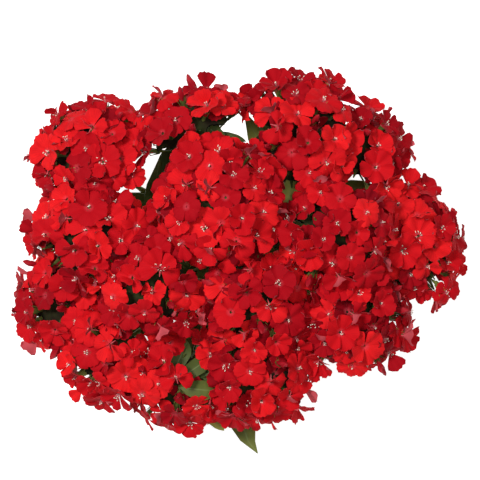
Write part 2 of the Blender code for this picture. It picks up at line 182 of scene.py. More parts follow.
def add_float(piece, name, values):
    """Gives a piece a value at each point, or one for all"""
    made = piece.data.attributes.new(name, "FLOAT", "POINT")
    if isinstance(values, float):
        values = [values] * len(piece.data.vertices)
    made.data.foreach_set("value", values)


def finish_piece(piece, look, slot, *replaced):
    """Gives a piece its finish, hangs it on the plant and hides the nodes that it stands for"""
    piece.data.materials.clear()
    piece.data.materials.append(look)
    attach(piece, "root")
    if replaced:
        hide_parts(*replaced)
    print(piece.name, triangles(piece), "triangles")


# %% [markdown]
# ## Where everything stands
#
# The source places fifteen domed heads on a fan of stems, and the leaves between them, by a rule.
# The heads and the leaves follow the same rule here, with the same numbers. Only the florets are
# placed anew, because they are smaller and more. A head is an oblate half ellipsoid on a tilted axis.

# %% Numbers for the heads
# Place of the middle seen from above, half width and lift, in millimetres
HEADS = [
    (-119, 79, 48, 0),
    (-36, 92, 45, -6),
    (48, 95, 51, 0),
    (98, 82, 38, -4),
    (-15, 40, 50, 8),
    (78, 16, 44, 8),
    (138, 7, 46, -8),
    (-119, 18, 48, 4),
    (-138, -38, 44, -6),
    (-105, -79, 40, 0),
    (-69, -24, 41, 6),
    (14, -34, 44, -6),
    (-51, -101, 38, -4),
    (16, -91, 41, 0),
    (91, -51, 43, 0),
]
MIDDLE_HEIGHT = 264 * MM
EDGE_DROP = 55 * MM
EDGE_REACH = 150 * MM
EDGE_TILT = math.radians(27)
DOME_FLATNESS = 0.72
DOME_INSET = 3 * MM
DOME_BASE = -0.22
CUP_HEIGHT = 21 * MM
CUP_SHARE = 0.62
GOLDEN_TURN = math.pi * (3 - math.sqrt(5))
print(len(HEADS), "heads are listed")


# %% Where one head stands
def turn_to(axis):
    """A turn that takes +Z to axis"""
    return UP.rotation_difference(axis).to_matrix()


class Head:
    """Where one head stands"""

    def __init__(self, x, y, half_width, lift):
        reach = Vector((x, y, 0)) * MM
        far = reach.length / EDGE_REACH
        height = MIDDLE_HEIGHT - EDGE_DROP * far * far + lift * MM
        self.middle = Vector((reach.x, reach.y, height))
        tilt = EDGE_TILT * far
        self.axis = reach.normalized() * math.sin(tilt) + UP * math.cos(tilt)
        self.turn = turn_to(self.axis)
        self.half_width = half_width * MM
        self.wide = self.half_width - DOME_INSET
        self.high = self.wide * DOME_FLATNESS
        self.base = DOME_BASE * self.high
        self.planes = []

    def place(self, point):
        return self.middle + self.turn @ point

    def keep_off(self, other):
        apart = other.middle - self.middle
        share = self.half_width / (self.half_width + other.half_width)
        self.planes.append((self.middle + apart * share, apart.normalized()))

    def room(self, point):
        """How far a point is from the neighbouring heads"""
        return min((at - point).dot(normal) for at, normal in self.planes)

    def branching(self):
        """Where the stem parts into the florets' stalks"""
        return self.place(UP * (self.base - CUP_HEIGHT * 0.75))


heads = [Head(*row) for row in HEADS]
for head in heads:
    for other in heads:
        if other is not head:
            head.keep_off(other)
print(len(heads), "heads")

# %% [markdown]
# ## Where the florets stand
#
# An open floret of this plant is about 25 mm across. Its place on the dome comes from a spiral of
# golden turns, which spreads points evenly, as a real flower head does. Neighbours stand at
# different levels, so their petals lie over and under each other. A second layer stands deeper in
# the head and fills the gaps in the first; its florets are painted darker, as painted shade.
#
# Here and there the heads leave an opening, where one sees a leaf or past the plant to the ground.
# Florets make way for these. Single florets fill the corners between heads, where no dome reaches.

# %% Numbers for the florets' places
SEED = 27  # the source's own, which its leaves need again further on
# Surface of the dome for each floret and angle of the last one from the dome's axis; then how far
# the throats lie outside the source's dome, how much the florets wander and the share of their tone
# that is kept, below 1 for the painted shade of the deep layer
LAYERS = [
    (300 * MM * MM, math.radians(106), (-1 * MM, 1.0, 1.0)),
    (600 * MM * MM, math.radians(84), (-9 * MM, 1.4, 0.22)),
]
LEVELS = 4
LEVEL_STEP = 2.3 * MM
SQUEEZED_OUT = 0.5 * MM
SIDEWAYS = 2.2 * MM
FACE_UP = 0.52
FACE_WANDER = 0.34
RIM_WANDER = 0.45  # the florets at the rim wander less
OPEN_SHARE = 0.93
FLORET_SIZES = (0.84, 1.17)
FLORET_TONES = (0.18, 1.0)
FLORET_REACH = 12 * MM  # from a throat to the edge of an opening
IN_THE_MIDDLE = 0.42  # a floret within this share of an opening is left out
# Openings: both ends of a middle line, seen from above, and half the width, in millimetres
SEE_THROUGH = [
    (-4, 101, 7, 101, 7.5),
    (-22, 99, -6, 101, 3),
    (-59, 80, -73, 50, 4.5),
    (92, 58, 95, 58, 5.5),
    (-80, -60, -78, -59, 4),
    (72, -97, 75, -93, 3),
]
OVER_LEAVES = [
    (-43, -78, -26, -104, 3.5),
    (38, 44, 39, 66, 3),
    (-93, 52, -93, 53, 0),
    (-44, -8, -43, -7, 0),
    (52, 24, 52, 25, 0),
    (-152, 5, -151, 5, 0),
    (158, -18, 160, -18, 1),
    (-137, -8, -137, -9, 0),
    (25, 2, 26, 2, 0),
]
# Single florets that fill the corners between heads: head, direction seen from above in degrees
# and distance outside the head's dome in millimetres
LOOSE_FLORETS = [
    (1, 41, 8),
    (1, 211, 4),
    (2, 30, 4),
    (3, 143, 3),
    (4, 81, 3),
    (7, 84, 7),
    (7, 101, 9),
    (9, 118, 4),
    (10, 262, 2),
    (14, 236, 5),
    (15, 343, 5),
]
LOOSE_HEIGHT = 0.3
LOOSE_WANDER = 0.5
draw = random.Random(SEED)
print(len(LAYERS), "layers,", len(SEE_THROUGH + OVER_LEAVES), "openings")


# %% Even places, levels and openings
def dome_places(wide, cell, last):
    """Even places on a dome of this half width, as unit directions"""
    cap = 1 - math.cos(last)
    area = 2 * math.pi * wide * wide * cap * (1 + DOME_FLATNESS) / 2
    count = round(area / cell)
    places = []
    for i in range(count):
        z = 1 - cap * (i + 0.5) / count
        ring = math.sqrt(1 - z * z)
        turn = i * GOLDEN_TURN
        places.append(Vector((ring * math.cos(turn), ring * math.sin(turn), z)))
    return places


def levels_of(places):
    levels = []
    for place in places:
        cost = [0.0] * LEVELS
        for other, level in zip(places, levels):
            cost[level] += 1 / (place - other).length_squared ** 2
        levels.append(cost.index(min(cost)))
    return levels


def from_opening(point, opening):
    """The way to a point from the middle line of an opening, seen from above"""
    start = Vector(opening[:2]) * MM
    along = Vector(opening[2:4]) * MM - start
    out = point.xy - start
    share = out.dot(along) / along.length_squared if along.length else 0.0
    return out - along * min(1.0, max(0.0, share))


# %% The florets' places
class Floret:
    """Where one floret stands: its throat, its turn and its size"""

    def __init__(self, head, direction, level, layer):
        out, wander_share, tone_with_painted_shade = layer
        wide = head.wide + out
        high = head.high + out
        flat = Vector((wide * direction.x, wide * direction.y, high * direction.z))
        normal = Vector((direction.x / wide, direction.y / wide, direction.z / high)).normalized()
        wander = Vector((draw.gauss(0, 1), draw.gauss(0, 1), 0))
        wander *= FACE_WANDER * wander_share * (RIM_WANDER + (1 - RIM_WANDER) * max(direction.z, 0))
        facing = (normal + UP * FACE_UP + wander).normalized()
        sideways = Vector((draw.uniform(-1, 1), draw.uniform(-1, 1), 0)) * SIDEWAYS
        spin = Matrix.Rotation(draw.uniform(0, math.tau), 3, "Z")
        self.turn = head.turn @ turn_to(facing) @ spin
        self.root = head.place(flat + sideways + normal * (level - 1) * LEVEL_STEP)
        self.head = head
        self.size = draw.uniform(*FLORET_SIZES)
        self.open = draw.random() < OPEN_SHARE
        # The layer's share darkens the deep layer's tone, as painted shade; the random part is each
        # floret's own tone
        self.tone = tone_with_painted_shade * draw.uniform(*FLORET_TONES)
        self.model = draw.randrange(100)
        self.outer = tone_with_painted_shade == 1

    def makes_way(self):
        """Moves the floret out of the openings. One in the middle of an opening is left out."""
        for opening in SEE_THROUGH + OVER_LEAVES:
            way = from_opening(self.root, opening)
            clear = opening[4] * MM + FLORET_REACH
            if way.length < IN_THE_MIDDLE * clear:
                return False
            if way.length < clear:
                self.root += (way.normalized() * (clear - way.length)).to_3d()
        return True

    def matrix(self):
        return Matrix.Translation(self.root) @ self.turn.to_4x4() @ Matrix.Scale(self.size, 4)


florets = []
for head in heads:
    mine = []
    for cell, last, layer in LAYERS:
        places = dome_places(head.wide + layer[0], cell, last)
        levels = levels_of(places)
        mine += [Floret(head, place, level, layer) for place, level in zip(places, levels)]
    mine = [floret for floret in mine if head.room(floret.root) > SQUEEZED_OUT]
    florets.append([floret for floret in mine if floret.makes_way()])
for number, azimuth, out in LOOSE_FLORETS:
    way = Matrix.Rotation(math.radians(azimuth), 3, "Z") @ Vector((1, 0, LOOSE_HEIGHT)).normalized()
    loose = Floret(heads[number - 1], way, 1, (out * MM, LOOSE_WANDER, 1.0))
    loose.open = True
    florets[number - 1].append(loose)
print(sum(map(len, florets)), "florets")

# %% [markdown]
# ## One petal
#
# A petal of this dianthus is a broad wedge with a toothed outer edge, set on a narrow claw that
# goes down into the calyx. It could be drawn point by point. Here it starts as a grid whose columns
# are laid on one line and then swung round the throat like the sticks of a fan. Each row is drawn
# in by its own share, at the throat for the claw and at the edge for a round lobe. The outer row's
# points are pushed out for teeth, and the blade is lifted for a wave, a cup or a curl. Solidify
# gives it the thickness of a real petal.

# %% Numbers for a petal
PETAL_LENGTH = 14.0 * MM
PETAL_THICKNESS = 0.3 * MM
COLUMNS = 8
# Distance from the floret's axis and height of each row, as shares of the petal's length
PETAL_ROWS = [(0.04, -0.42), (0.075, -0.06), (0.38, 0.03), (0.68, 0.05), (0.87, 0.04), (0.965, 0.01)]
FAN_HALF_ANGLE = math.radians(37.5)
# How far each row is drawn in, as a share of the fan
DRAWN_IN = [0.5, 0.9, 1.0, 0.99, 0.90, 0.78]
# How far the outer points are pushed out, every second one a tooth, as shares of the length
TEETH = (0.0, 0.065)
NOTCHES = (-0.03, 0.02)
ROUND_CORNER = 0.09
CORNER_POWER = 3.5
RIPPLES = 4.4
print("a petal's grid has", (COLUMNS + 1) * len(PETAL_ROWS), "points")


# %% Model four petals
def across_of(column):
    """Where a column stands, from -1 to 1 across the petal"""
    return 2 * column / COLUMNS - 1


def column_of(column):
    return range(column, (COLUMNS + 1) * len(PETAL_ROWS), COLUMNS + 1)


def row_of(row):
    return range(row * (COLUMNS + 1), (row + 1) * (COLUMNS + 1))


def petal(name, wave, cup, curl, teeth):
    """One petal along +Y from the floret's axis"""
    bpy.ops.mesh.primitive_grid_add(
        x_subdivisions=COLUMNS, y_subdivisions=len(PETAL_ROWS) - 1, size=PETAL_LENGTH
    )
    piece = named(name)
    edit(piece)
    stretch(piece, range(len(piece.data.vertices)), (0, 0, 0))
    for row, (out, high) in enumerate(PETAL_ROWS):
        shift(piece, row_of(row), (0, out * PETAL_LENGTH, high * PETAL_LENGTH))
    last = len(PETAL_ROWS) - 1
    for column in range(COLUMNS + 1):
        tooth = teeth.uniform(*(TEETH if column % 2 else NOTCHES))
        tooth -= ROUND_CORNER * abs(across_of(column)) ** CORNER_POWER
        shift(piece, [row_of(last)[column]], (0, tooth * PETAL_LENGTH, 0))
    # The columns are swung round the throat in code, each point by an angle of its own
    bm = bmesh.from_edit_mesh(piece.data)
    bm.verts.ensure_lookup_table()
    for column in range(COLUMNS + 1):
        for row, number in enumerate(column_of(column)):
            angle = -across_of(column) * FAN_HALF_ANGLE * DRAWN_IN[row]
            vertex = bm.verts[number]
            vertex.co = Matrix.Rotation(angle, 3, "Z") @ vertex.co
    bmesh.update_edit_mesh(piece.data)
    # Waves grow towards the edge, and the whole blade cups a little
    for row in range(2, len(PETAL_ROWS)):
        grow = (row - 1) / (last - 1)
        for column in range(COLUMNS + 1):
            across = across_of(column)
            ripple = wave * grow * math.sin(across * RIPPLES + wave * 40)
            ripple += cup * grow * across * across
            ripple += curl * grow * grow
            shift(piece, [row_of(row)[column]], (0, 0, ripple * PETAL_LENGTH))
    leave_edit()
    thicken(piece, PETAL_THICKNESS)
    return piece


teeth = random.Random(5)
petals = [
    petal("petal_flat", 0.05, 0.02, -0.03, teeth),
    petal("petal_wavy", 0.10, -0.04, 0.04, teeth),
    petal("petal_cupped", -0.07, 0.13, 0.08, teeth),
    petal("petal_reflexed", 0.08, -0.13, -0.14, teeth),
]
print("a petal has", triangles(petals[0]), "triangles")

# %% [markdown]
# ## One floret
#
# Five petals stand round the throat. Each leans a little about its own length, so that one edge
# lies over its neighbour, as on the real flower. Twelve different florets are made, from drooping
# and flat ones to half open ones, and all the others are copies of these. In four of them one petal
# is folded up and shows its pale underside.

# %% Model twelve florets
PETALS = 5
FOLDED_UP = 72  # degrees
LEAN_STRAY = 4
RISE_STRAY = 9
SPIN_STRAY = 0.09
PETAL_SIZES = (0.86, 1.06)


def floret(name, choice, lean, raised, folded=None):
    """Five petals round one throat, joined. One petal may be folded up."""
    pieces = []
    for i in range(PETALS):
        model = petals[choice[i % len(choice)]]
        tilt = Matrix.Rotation(math.radians(lean + draw.uniform(-LEAN_STRAY, LEAN_STRAY)), 4, "Y")
        stray = FOLDED_UP if i == folded else draw.gauss(0, RISE_STRAY)
        rise = Matrix.Rotation(math.radians(raised + stray), 4, "X")
        turn = math.tau * i / PETALS + draw.uniform(-SPIN_STRAY, SPIN_STRAY)
        spin = Matrix.Rotation(turn, 4, "Z")
        size = Matrix.Scale(draw.uniform(*PETAL_SIZES), 4)
        pieces.append(copy_of(model, spin @ rise @ tilt @ size))
    return joined(name, pieces)


models = [
    floret("floret_flat", (0, 1), 7, 0),
    floret("floret_wavy", (1, 0, 2), 8, 3),
    floret("floret_open", (0, 3, 0), 6, -6),
    floret("floret_cupped", (2, 1), 9, 14),
    floret("floret_lively", (3, 1, 2), 11, 5, 2),
    floret("floret_half_open", (2, 2, 1), 9, 28),
    floret("floret_folded", (1, 3, 0), 9, 2, 0),
    floret("floret_drooping", (3, 0, 3), 8, -16),
    floret("floret_uneven", (0, 2, 3), 10, 8, 3),
    floret("floret_broad", (1, 0), 5, -3),
    floret("floret_leaning", (2, 0, 1), 8, 18),
    floret("floret_tired", (3, 1), 12, -10, 1),
]
discard(petals)
print("a floret has", triangles(models[0]), "triangles")

# %% [markdown]
# ## Petal finish
#
# The petals are a velvety scarlet, a little lighter and pinker towards the throat, with fine darker
# veins that fan out to the edge, and a paler, duller underside. The grid's own UV map follows the
# petal, across and along, so the veins and the throat are read from it. Each floret also carries a
# tone of its own, because some are fresher than others. The florets of the deep layer carry a lower
# tone, which is painted shade.

# %% Helpers for materials
def new_material(name, roughness, specular):
    made = bpy.data.materials.new(name)
    made.use_nodes = True
    shader = made.node_tree.nodes["Principled BSDF"]
    shader.inputs["Roughness"].default_value = roughness
    shader.inputs["Specular IOR Level"].default_value = specular
    return made, made.node_tree, shader


def add_node(tree, kind, **values):
    made = tree.nodes.new(kind)
    for key, value in values.items():
        setattr(made, key, value)
    return made


def attribute(tree, name):
    return add_node(tree, "ShaderNodeAttribute", attribute_name=name).outputs["Fac"]


def object_place(tree):
    return add_node(tree, "ShaderNodeTexCoord").outputs["Object"]


def uv_place(tree):
    """The place on the grid that a petal or a leaf was made of, and its two parts"""
    uv = add_node(tree, "ShaderNodeUVMap", uv_map="UVMap").outputs[0]
    split = add_node(tree, "ShaderNodeSeparateXYZ")
    tree.links.new(uv, split.inputs[0])
    return uv, split.outputs["X"], split.outputs["Y"]


def scaled(tree, vector, scale):
    """A place stretched before a noise reads it, for stripes instead of spots"""
    made = add_node(tree, "ShaderNodeMapping")
    made.inputs["Scale"].default_value = scale
    tree.links.new(vector, made.inputs["Vector"])
    return made.outputs[0]


# %% Helpers for colours and relief
def mixed(tree, factor, first, second):
    """A colour mix of two colours or sockets"""
    mix = add_node(tree, "ShaderNodeMix", data_type="RGBA", blend_type="MIX")
    for socket, value in ((mix.inputs[0], factor), (mix.inputs[6], first), (mix.inputs[7], second)):
        if isinstance(value, bpy.types.NodeSocket):
            tree.links.new(value, socket)
        else:
            socket.default_value = value
    return mix.outputs[2]


def ramp(tree, value, stops):
    """A colour ramp from places and colours, or grey values"""
    made = add_node(tree, "ShaderNodeValToRGB")
    elements = made.color_ramp.elements
    while len(elements) < len(stops):
        elements.new(0.5)
    for element, (place, colour) in zip(elements, stops):
        element.position = place
        element.color = (*colour, 1) if isinstance(colour, tuple) else (colour, colour, colour, 1)
    tree.links.new(value, made.inputs[0])
    return made.outputs[0]


def noise(tree, vector, scale, detail=2.0):
    made = add_node(tree, "ShaderNodeTexNoise")
    made.inputs["Scale"].default_value = scale
    made.inputs["Detail"].default_value = detail
    tree.links.new(vector, made.inputs["Vector"])
    return made.outputs["Fac"]


def bump(tree, shader, height, strength, distance):
    made = add_node(tree, "ShaderNodeBump")
    made.inputs["Strength"].default_value = strength
    made.inputs["Distance"].default_value = distance
    tree.links.new(height, made.inputs["Height"])
    tree.links.new(made.outputs[0], shader.inputs["Normal"])


# %% The material of the petals
# From the deep red of an old floret to the scarlet of a fresh one. The dark end also gives the deep
# layer its painted shade.
PETAL_REDS = [
    (0.0, (0.14, 0.001, 0.006)),
    (0.35, (0.44, 0.003, 0.009)),
    (0.7, (0.70, 0.007, 0.012)),
    (1.0, (0.92, 0.016, 0.018)),
]


def petal_material():
    made, tree, shader = new_material("petal_velvet", 0.75, 0.08)
    uv, _, along = uv_place(tree)
    # The red of each floret's tone, darkened in the deep layer as painted shade
    tone_with_painted_shade = ramp(tree, attribute(tree, "tone"), PETAL_REDS)
    patch = ramp(tree, noise(tree, object_place(tree), 90), [(0.35, 0.0), (0.7, 0.35)])
    shaded = mixed(tree, patch, tone_with_painted_shade, (0.46, 0.003, 0.010, 1))
    near_throat = ramp(tree, along, [(0.20, 0.5), (0.34, 0.0)])
    throat = mixed(tree, near_throat, shaded, (0.72, 0.09, 0.12, 1))
    veins = noise(tree, scaled(tree, uv, (26, 2.2, 1)), 1.0, 3.0)
    veined = mixed(tree, ramp(tree, veins, [(0.42, 0.22), (0.55, 0.0)]), throat, (0.42, 0.002, 0.010, 1))
    under = ramp(tree, attribute(tree, "under"), [(0.6, 0.0), (1.0, 1.0)])
    colour = mixed(tree, under, veined, (0.62, 0.095, 0.115, 1))
    tree.links.new(colour, shader.inputs["Base Color"])
    shader.inputs["Sheen Weight"].default_value = 0.06
    shader.inputs["Sheen Roughness"].default_value = 0.4
    shader.inputs["Sheen Tint"].default_value = (1.0, 0.12, 0.14, 1)
    bump(tree, shader, veins, 0.35, 0.15 * MM)
    return made


petal_look = petal_material()
print("material", petal_look.name)

# %% [markdown]
# ## The flower heads
#
# Each floret is copied to its place. The copy's mesh gets the floret's tone, and the lower skin of
# each petal is marked, so that the material can colour the two sides differently. The florets of a
# head are then joined in one piece, which replaces the head's node.

# %% Plant the florets
def mark_underside(model):
    """Marks the lower skin of a solidified sheet, whose points follow those of the upper skin"""
    skin = len(model.data.vertices) // PETALS // 2
    add_float(model, "under", ([0.0] * skin + [1.0] * skin) * PETALS)


for model in models:
    mark_underside(model)
    take(model)
    bpy.ops.object.shade_smooth_by_angle(angle=math.radians(50))

for number, mine in enumerate(florets, 1):
    copies = []
    for place in mine:
        if place.open:
            copies.append(copy_of(models[place.model % len(models)], place.matrix()))
            add_float(copies[-1], "tone", place.tone)
    piece = joined(f"florets_{number:02d}", copies)
    finish_piece(piece, petal_look, "petal_red", f"head_{number:02d}")
discard(models)

# %% [markdown]
# ## Calyces and stalks
#
# Under each floret is a green tube with five teeth, the calyx, with narrow pointed bracts beside it
# whose tips end near the throat. Thin stalks gather at the top of the stem. A cone primitive makes
# the tube, and every second point of its rim is pulled up and out for a tooth.

# %% Model a calyx
CALYX_LENGTH = 13 * MM
CALYX_TOP = -3.2 * MM  # below the throat
TOOTH_LENGTH = 3.0 * MM
TOOTH_SPREAD = 1.35
CALYX_BRACTS = 4
BRACT_LENGTH = 12.5 * MM
STALK_RADIUS = 0.8 * MM
GREEN_TONES = (0.25, 0.95)


def calyx():
    bpy.ops.mesh.primitive_cone_add(
        vertices=10,
        radius1=1.1 * MM,
        radius2=2.0 * MM,
        depth=CALYX_LENGTH,
        location=(0, 0, CALYX_TOP - CALYX_LENGTH / 2),
    )
    tube = named("calyx_tube")
    bpy.ops.object.transform_apply()
    edit(tube)

    def direction(number):
        place = tube.data.vertices[number].co
        return math.atan2(place.y, place.x)

    rim = numbers_where(tube, lambda place: place.z > CALYX_TOP - 1 * MM)
    rim.sort(key=direction)
    shift(tube, rim[::2], (0, 0, TOOTH_LENGTH))
    stretch(tube, rim[::2], (TOOTH_SPREAD, TOOTH_SPREAD, 1))
    leave_edit()
    pieces = [tube]
    for i in range(CALYX_BRACTS):
        bpy.ops.mesh.primitive_cone_add(
            vertices=3,
            radius1=0.9 * MM,
            radius2=0.08 * MM,
            depth=BRACT_LENGTH,
            location=(0, 0, BRACT_LENGTH / 2),
        )
        bract = named("bract")
        bpy.ops.object.transform_apply()
        lean = math.radians(8 + 7 * (i % 3))
        turn = Matrix.Rotation(math.tau * (i + 0.3) / CALYX_BRACTS, 4, "Z")
        foot = Matrix.Translation((1.6 * MM, 0, CALYX_TOP - CALYX_LENGTH + 2 * MM + i * 1.2 * MM))
        bract.matrix_world = turn @ foot @ Matrix.Rotation(lean, 4, "Y")
        pieces.append(bract)
    return joined("calyx", pieces)


# %% Model a rod for stalks and threads
def rod():
    """A thin rod of length 1 along +Z, to be stretched between two points"""
    bpy.ops.mesh.primitive_cylinder_add(vertices=5, radius=1, depth=1, location=(0, 0, 0.5))
    piece = named("rod")
    bpy.ops.object.transform_apply()
    return piece


def between(start, end, radius):
    """The matrix that lays the rod from start to end"""
    way = end - start
    turn = turn_to(way.normalized()).to_4x4()
    return Matrix.Translation(start) @ turn @ Matrix.Diagonal((radius, radius, way.length, 1))


calyx_model = calyx()
rod_model = rod()
print("a calyx has", triangles(calyx_model), "triangles")


# %% Set calyces and stalks under florets
def green_parts(mine):
    """The calyces, bracts and stalks under these florets"""
    pieces = []
    for place in mine:
        foot = place.head.branching()
        down = (place.root - foot).normalized()
        turn = turn_to(down).to_4x4() @ Matrix.Rotation(draw.uniform(0, math.tau), 4, "Z")
        cup = copy_of(calyx_model, Matrix.Translation(place.root) @ turn)
        add_float(cup, "tone", draw.uniform(*GREEN_TONES))
        bottom = place.root + down * (CALYX_TOP - CALYX_LENGTH + 0.5 * MM)
        stalk = copy_of(rod_model, between(foot, bottom, STALK_RADIUS))
        add_float(stalk, "tone", draw.uniform(*GREEN_TONES))
        pieces += [cup, stalk]
    return pieces


# %% [markdown]
# ## Stamens
#
# In many open florets a few stamens stand out of the throat: pale pink threads with a cream anther
# across the end. They are tiny, but from a step away they are the bright specks in the red. Five
# tufts are modelled and copied to most of the open florets of the outer layer.

# %% Model five tufts of stamens
THREAD_RADIUS = 0.16 * MM
ANTHER_LENGTH = 1.9 * MM
ANTHER_WIDTH = 0.75 * MM
TUFT_SHARE = 0.7  # of the open florets of the outer layer


def tuft(name, count, spread):
    """Threads and anthers round one throat"""
    pieces = []
    for i in range(count):
        angle = math.tau * (i + draw.uniform(-0.4, 0.4)) / count
        out = spread * draw.uniform(0.2, 1.2)
        low = Vector((0.5 * math.cos(angle), 0.5 * math.sin(angle), -3)) * MM
        high = Vector((out * math.cos(angle), out * math.sin(angle), draw.uniform(1.6, 3.4))) * MM
        thread = copy_of(rod_model, between(low, high, THREAD_RADIUS))
        add_float(thread, "anther", 0.0)
        bpy.ops.mesh.primitive_ico_sphere_add(subdivisions=1, radius=0.5)
        anther = named("anther")
        size = Matrix.Diagonal((ANTHER_LENGTH, ANTHER_WIDTH, ANTHER_WIDTH, 1))
        turn = Matrix.Rotation(draw.uniform(0, math.tau), 4, "Z")
        tilt = Matrix.Rotation(draw.uniform(-0.6, 0.6), 4, "Y")
        anther.matrix_world = Matrix.Translation(high) @ turn @ tilt @ size
        add_float(anther, "anther", 1.0)
        pieces += [thread, anther]
    return joined(name, pieces)


tufts = [
    tuft("tuft_five", 5, 1.7),
    tuft("tuft_three", 3, 0.9),
    tuft("tuft_two", 2, 1.2),
    tuft("tuft_loose", 6, 3.6),
    tuft("tuft_four", 4, 2.4),
]
copies = []
for mine in florets:
    for place in mine:
        if place.open and place.outer and draw.random() < TUFT_SHARE:
            copies.append(copy_of(draw.choice(tufts), place.matrix()))
stamens = joined("stamens", copies)
discard(tufts)
print(len(copies), "tufts")


# %% Finish the stamens
def stamen_material():
    made, tree, shader = new_material("stamen_cream", 0.6, 0.3)
    speckle = noise(tree, object_place(tree), 900)
    dusty = mixed(tree, speckle, (1.0, 0.96, 0.82, 1), (0.86, 0.76, 0.58, 1))
    colour = mixed(tree, attribute(tree, "anther"), (0.70, 0.30, 0.33, 1), dusty)
    tree.links.new(colour, shader.inputs["Base Color"])
    return made


take(stamens)
bpy.ops.object.shade_smooth()
finish_piece(stamens, stamen_material(), "petal_red")

# %% [markdown]
# ## Buds
#
# Where a floret hasn't opened, its petals are still rolled in a pointed crimson spiral. A short
# cylinder is extruded ring by ring, each ring turned a little further than the one below it. Every
# second point by number is then drawn in, for furrows that are a little uneven, as in a real roll.

# %% Model a bud and plant the buds
BUD_SIDES = 10
# Radius and height of each ring, in millimetres
BUD_RINGS = [(1.5, -3.0), (2.4, 1.5), (2.9, 5.0), (2.4, 8.0), (1.4, 10.5), (0.3, 12.0)]
BUD_TWIST = math.radians(24)
BUD_FURROW = 0.72


def bud():
    bpy.ops.mesh.primitive_cylinder_add(vertices=BUD_SIDES, radius=MM, depth=MM)
    piece = named("bud")
    edit(piece)
    low = numbers_where(piece, lambda place: place.z < 0)
    high = numbers_where(piece, lambda place: place.z > 0)
    stretch(piece, low, (BUD_RINGS[0][0], BUD_RINGS[0][0], 1))
    shift(piece, low, (0, 0, BUD_RINGS[0][1] * MM + MM / 2))
    shift(piece, high, (0, 0, BUD_RINGS[0][1] * MM - MM / 2 + 0.2 * MM))
    stretch(piece, high, (BUD_RINGS[0][0], BUD_RINGS[0][0], 1))
    for (wide, tall), (width, height) in zip(BUD_RINGS, BUD_RINGS[1:]):
        pick_top(piece)
        extrude_to(width, (height - tall) * MM, wide)
        bpy.ops.transform.rotate(value=BUD_TWIST, orient_axis="Z", center_override=(0, 0, 0))
    bpy.ops.mesh.select_mode(type="VERT")
    bpy.ops.mesh.select_all(action="DESELECT")
    bm = bmesh.from_edit_mesh(piece.data)
    bm.verts.ensure_lookup_table()
    for ring in range(1, len(BUD_RINGS)):
        for number in range((ring + 1) * BUD_SIDES, (ring + 2) * BUD_SIDES, 2):
            if number < len(bm.verts):
                bm.verts[number].co.x *= BUD_FURROW
                bm.verts[number].co.y *= BUD_FURROW
    bmesh.update_edit_mesh(piece.data)
    leave_edit()
    return piece


bud_model = bud()
copies = [
    copy_of(bud_model, place.matrix())
    for mine in florets
    for place in mine
    if not place.open
]
buds = joined("buds", copies)
discard([bud_model])
print(len(copies), "buds")


# %% Finish the buds
def bud_material():
    made, tree, shader = new_material("bud_crimson", 0.55, 0.25)
    patch = noise(tree, object_place(tree), 260)
    colour = mixed(tree, patch, (0.30, 0.002, 0.010, 1), (0.52, 0.010, 0.022, 1))
    tree.links.new(colour, shader.inputs["Base Color"])
    return made


take(buds)
bpy.ops.object.shade_smooth_by_angle(angle=math.radians(60))
finish_piece(buds, bud_material(), "petal_red")

# %% [markdown]
# ## Leaves, by the rule of the source
#
# The leaves stand in opposite pairs on the stems, and a few reach up or out between the heads. The
# source tries each one in several directions until it is clear of what stands there already. The
# same search with the same numbers gives the same leaves here.

# %% The source's numbers for pot, soil, stems and leaves
SOIL_TOP = 112 * MM
POT_HEIGHT = 128 * MM
POT_RIM_RADIUS = 74 * MM
POT_RIM_HEIGHT = 26 * MM
POT_NECK_RADIUS = 67 * MM
POT_BASE_RADIUS = 52 * MM
POT_WALL = 6 * MM
POT_FLOOR = 8 * MM
HOLE_DEPTH = 20 * MM
HOLE_SHARE = 0.28
GAP = 0.3 * MM
STEM_RADIUS = 2.6 * MM
STEM_COLLAR = 6 * MM
STEM_PULL = 0.42
ROUTE_STEPS = 40
LEAF_ARCH = 0.16
LEAF_CREST = 0.45
LEAF_HALF_WIDTH = 8.5 * MM
LEAF_LENGTH = 74 * MM
LEAF_STATIONS = [(0.0, 0.2), (0.32, 0.92), (0.66, 0.86)]
BROAD_STATIONS = [(0.0, 0.18), (0.3, 0.8), (0.66, 1.0), (0.88, 0.66)]
LEAF_CLEARANCE = 5.5 * MM
POT_CLEARANCE = 5 * MM
HEAD_MARGIN = 11 * MM
HEAD_SKIRT = 22 * MM
LEAF_SAMPLES = 16
LEAF_ROWS = 5
LEAF_ROOT_ZONE = 18 * MM
LEAF_SUNK = 1.6 * MM
LEAF_PAIRS = [(0.16, 0.0), (0.38, 90.0), (0.62, 0.0)]
FIRST_PAIR_TURN = 35
LEAF_TURNS = [0, 18, -18, 36, -36, 54, -54, 72, -72]
LEAF_LIFTS = [38, 22, 54, 68, 8]
LEAF_SHARES = [1.0, 0.8, 0.6]
# Head, place along its stem, tip and half width of the leaves that reach between the heads
REACHING_LEAVES = [
    (1, 0.60, (-45, 96, 204), 10.0),
    (2, 0.56, (-20, 110, 190), 9.0),
    (3, 0.60, (36, 50, 214), 6.5),
    (13, 0.50, (-22, -124, 198), 9.0),
    (11, 0.66, (-32, -100, 210), 7.5),
    (11, 0.62, (-46, -54, 206), 7.5),
    (14, 0.40, (5, -166, 168), 14.0),
    (7, 0.60, (160, -26, 160), 8.0),
    (8, 0.60, (-152, -4, 168), 7.5),
    (10, 0.58, (-137, -103, 170), 7.0),
    (4, 0.58, (112, 58, 172), 7.5),
]
REACHING_TONES = [0.22, 0.3, 0.95, 0.45, 0.5, 0.4, 0.78, 0.8, 0.6, 0.7, 0.5]
print(len(REACHING_LEAVES), "leaves reach between the heads")


# %% Stems' routes, and what a leaf keeps clear of
def stand_of(head):
    return Vector((head.middle.x, head.middle.y, 0)) * HOLE_SHARE


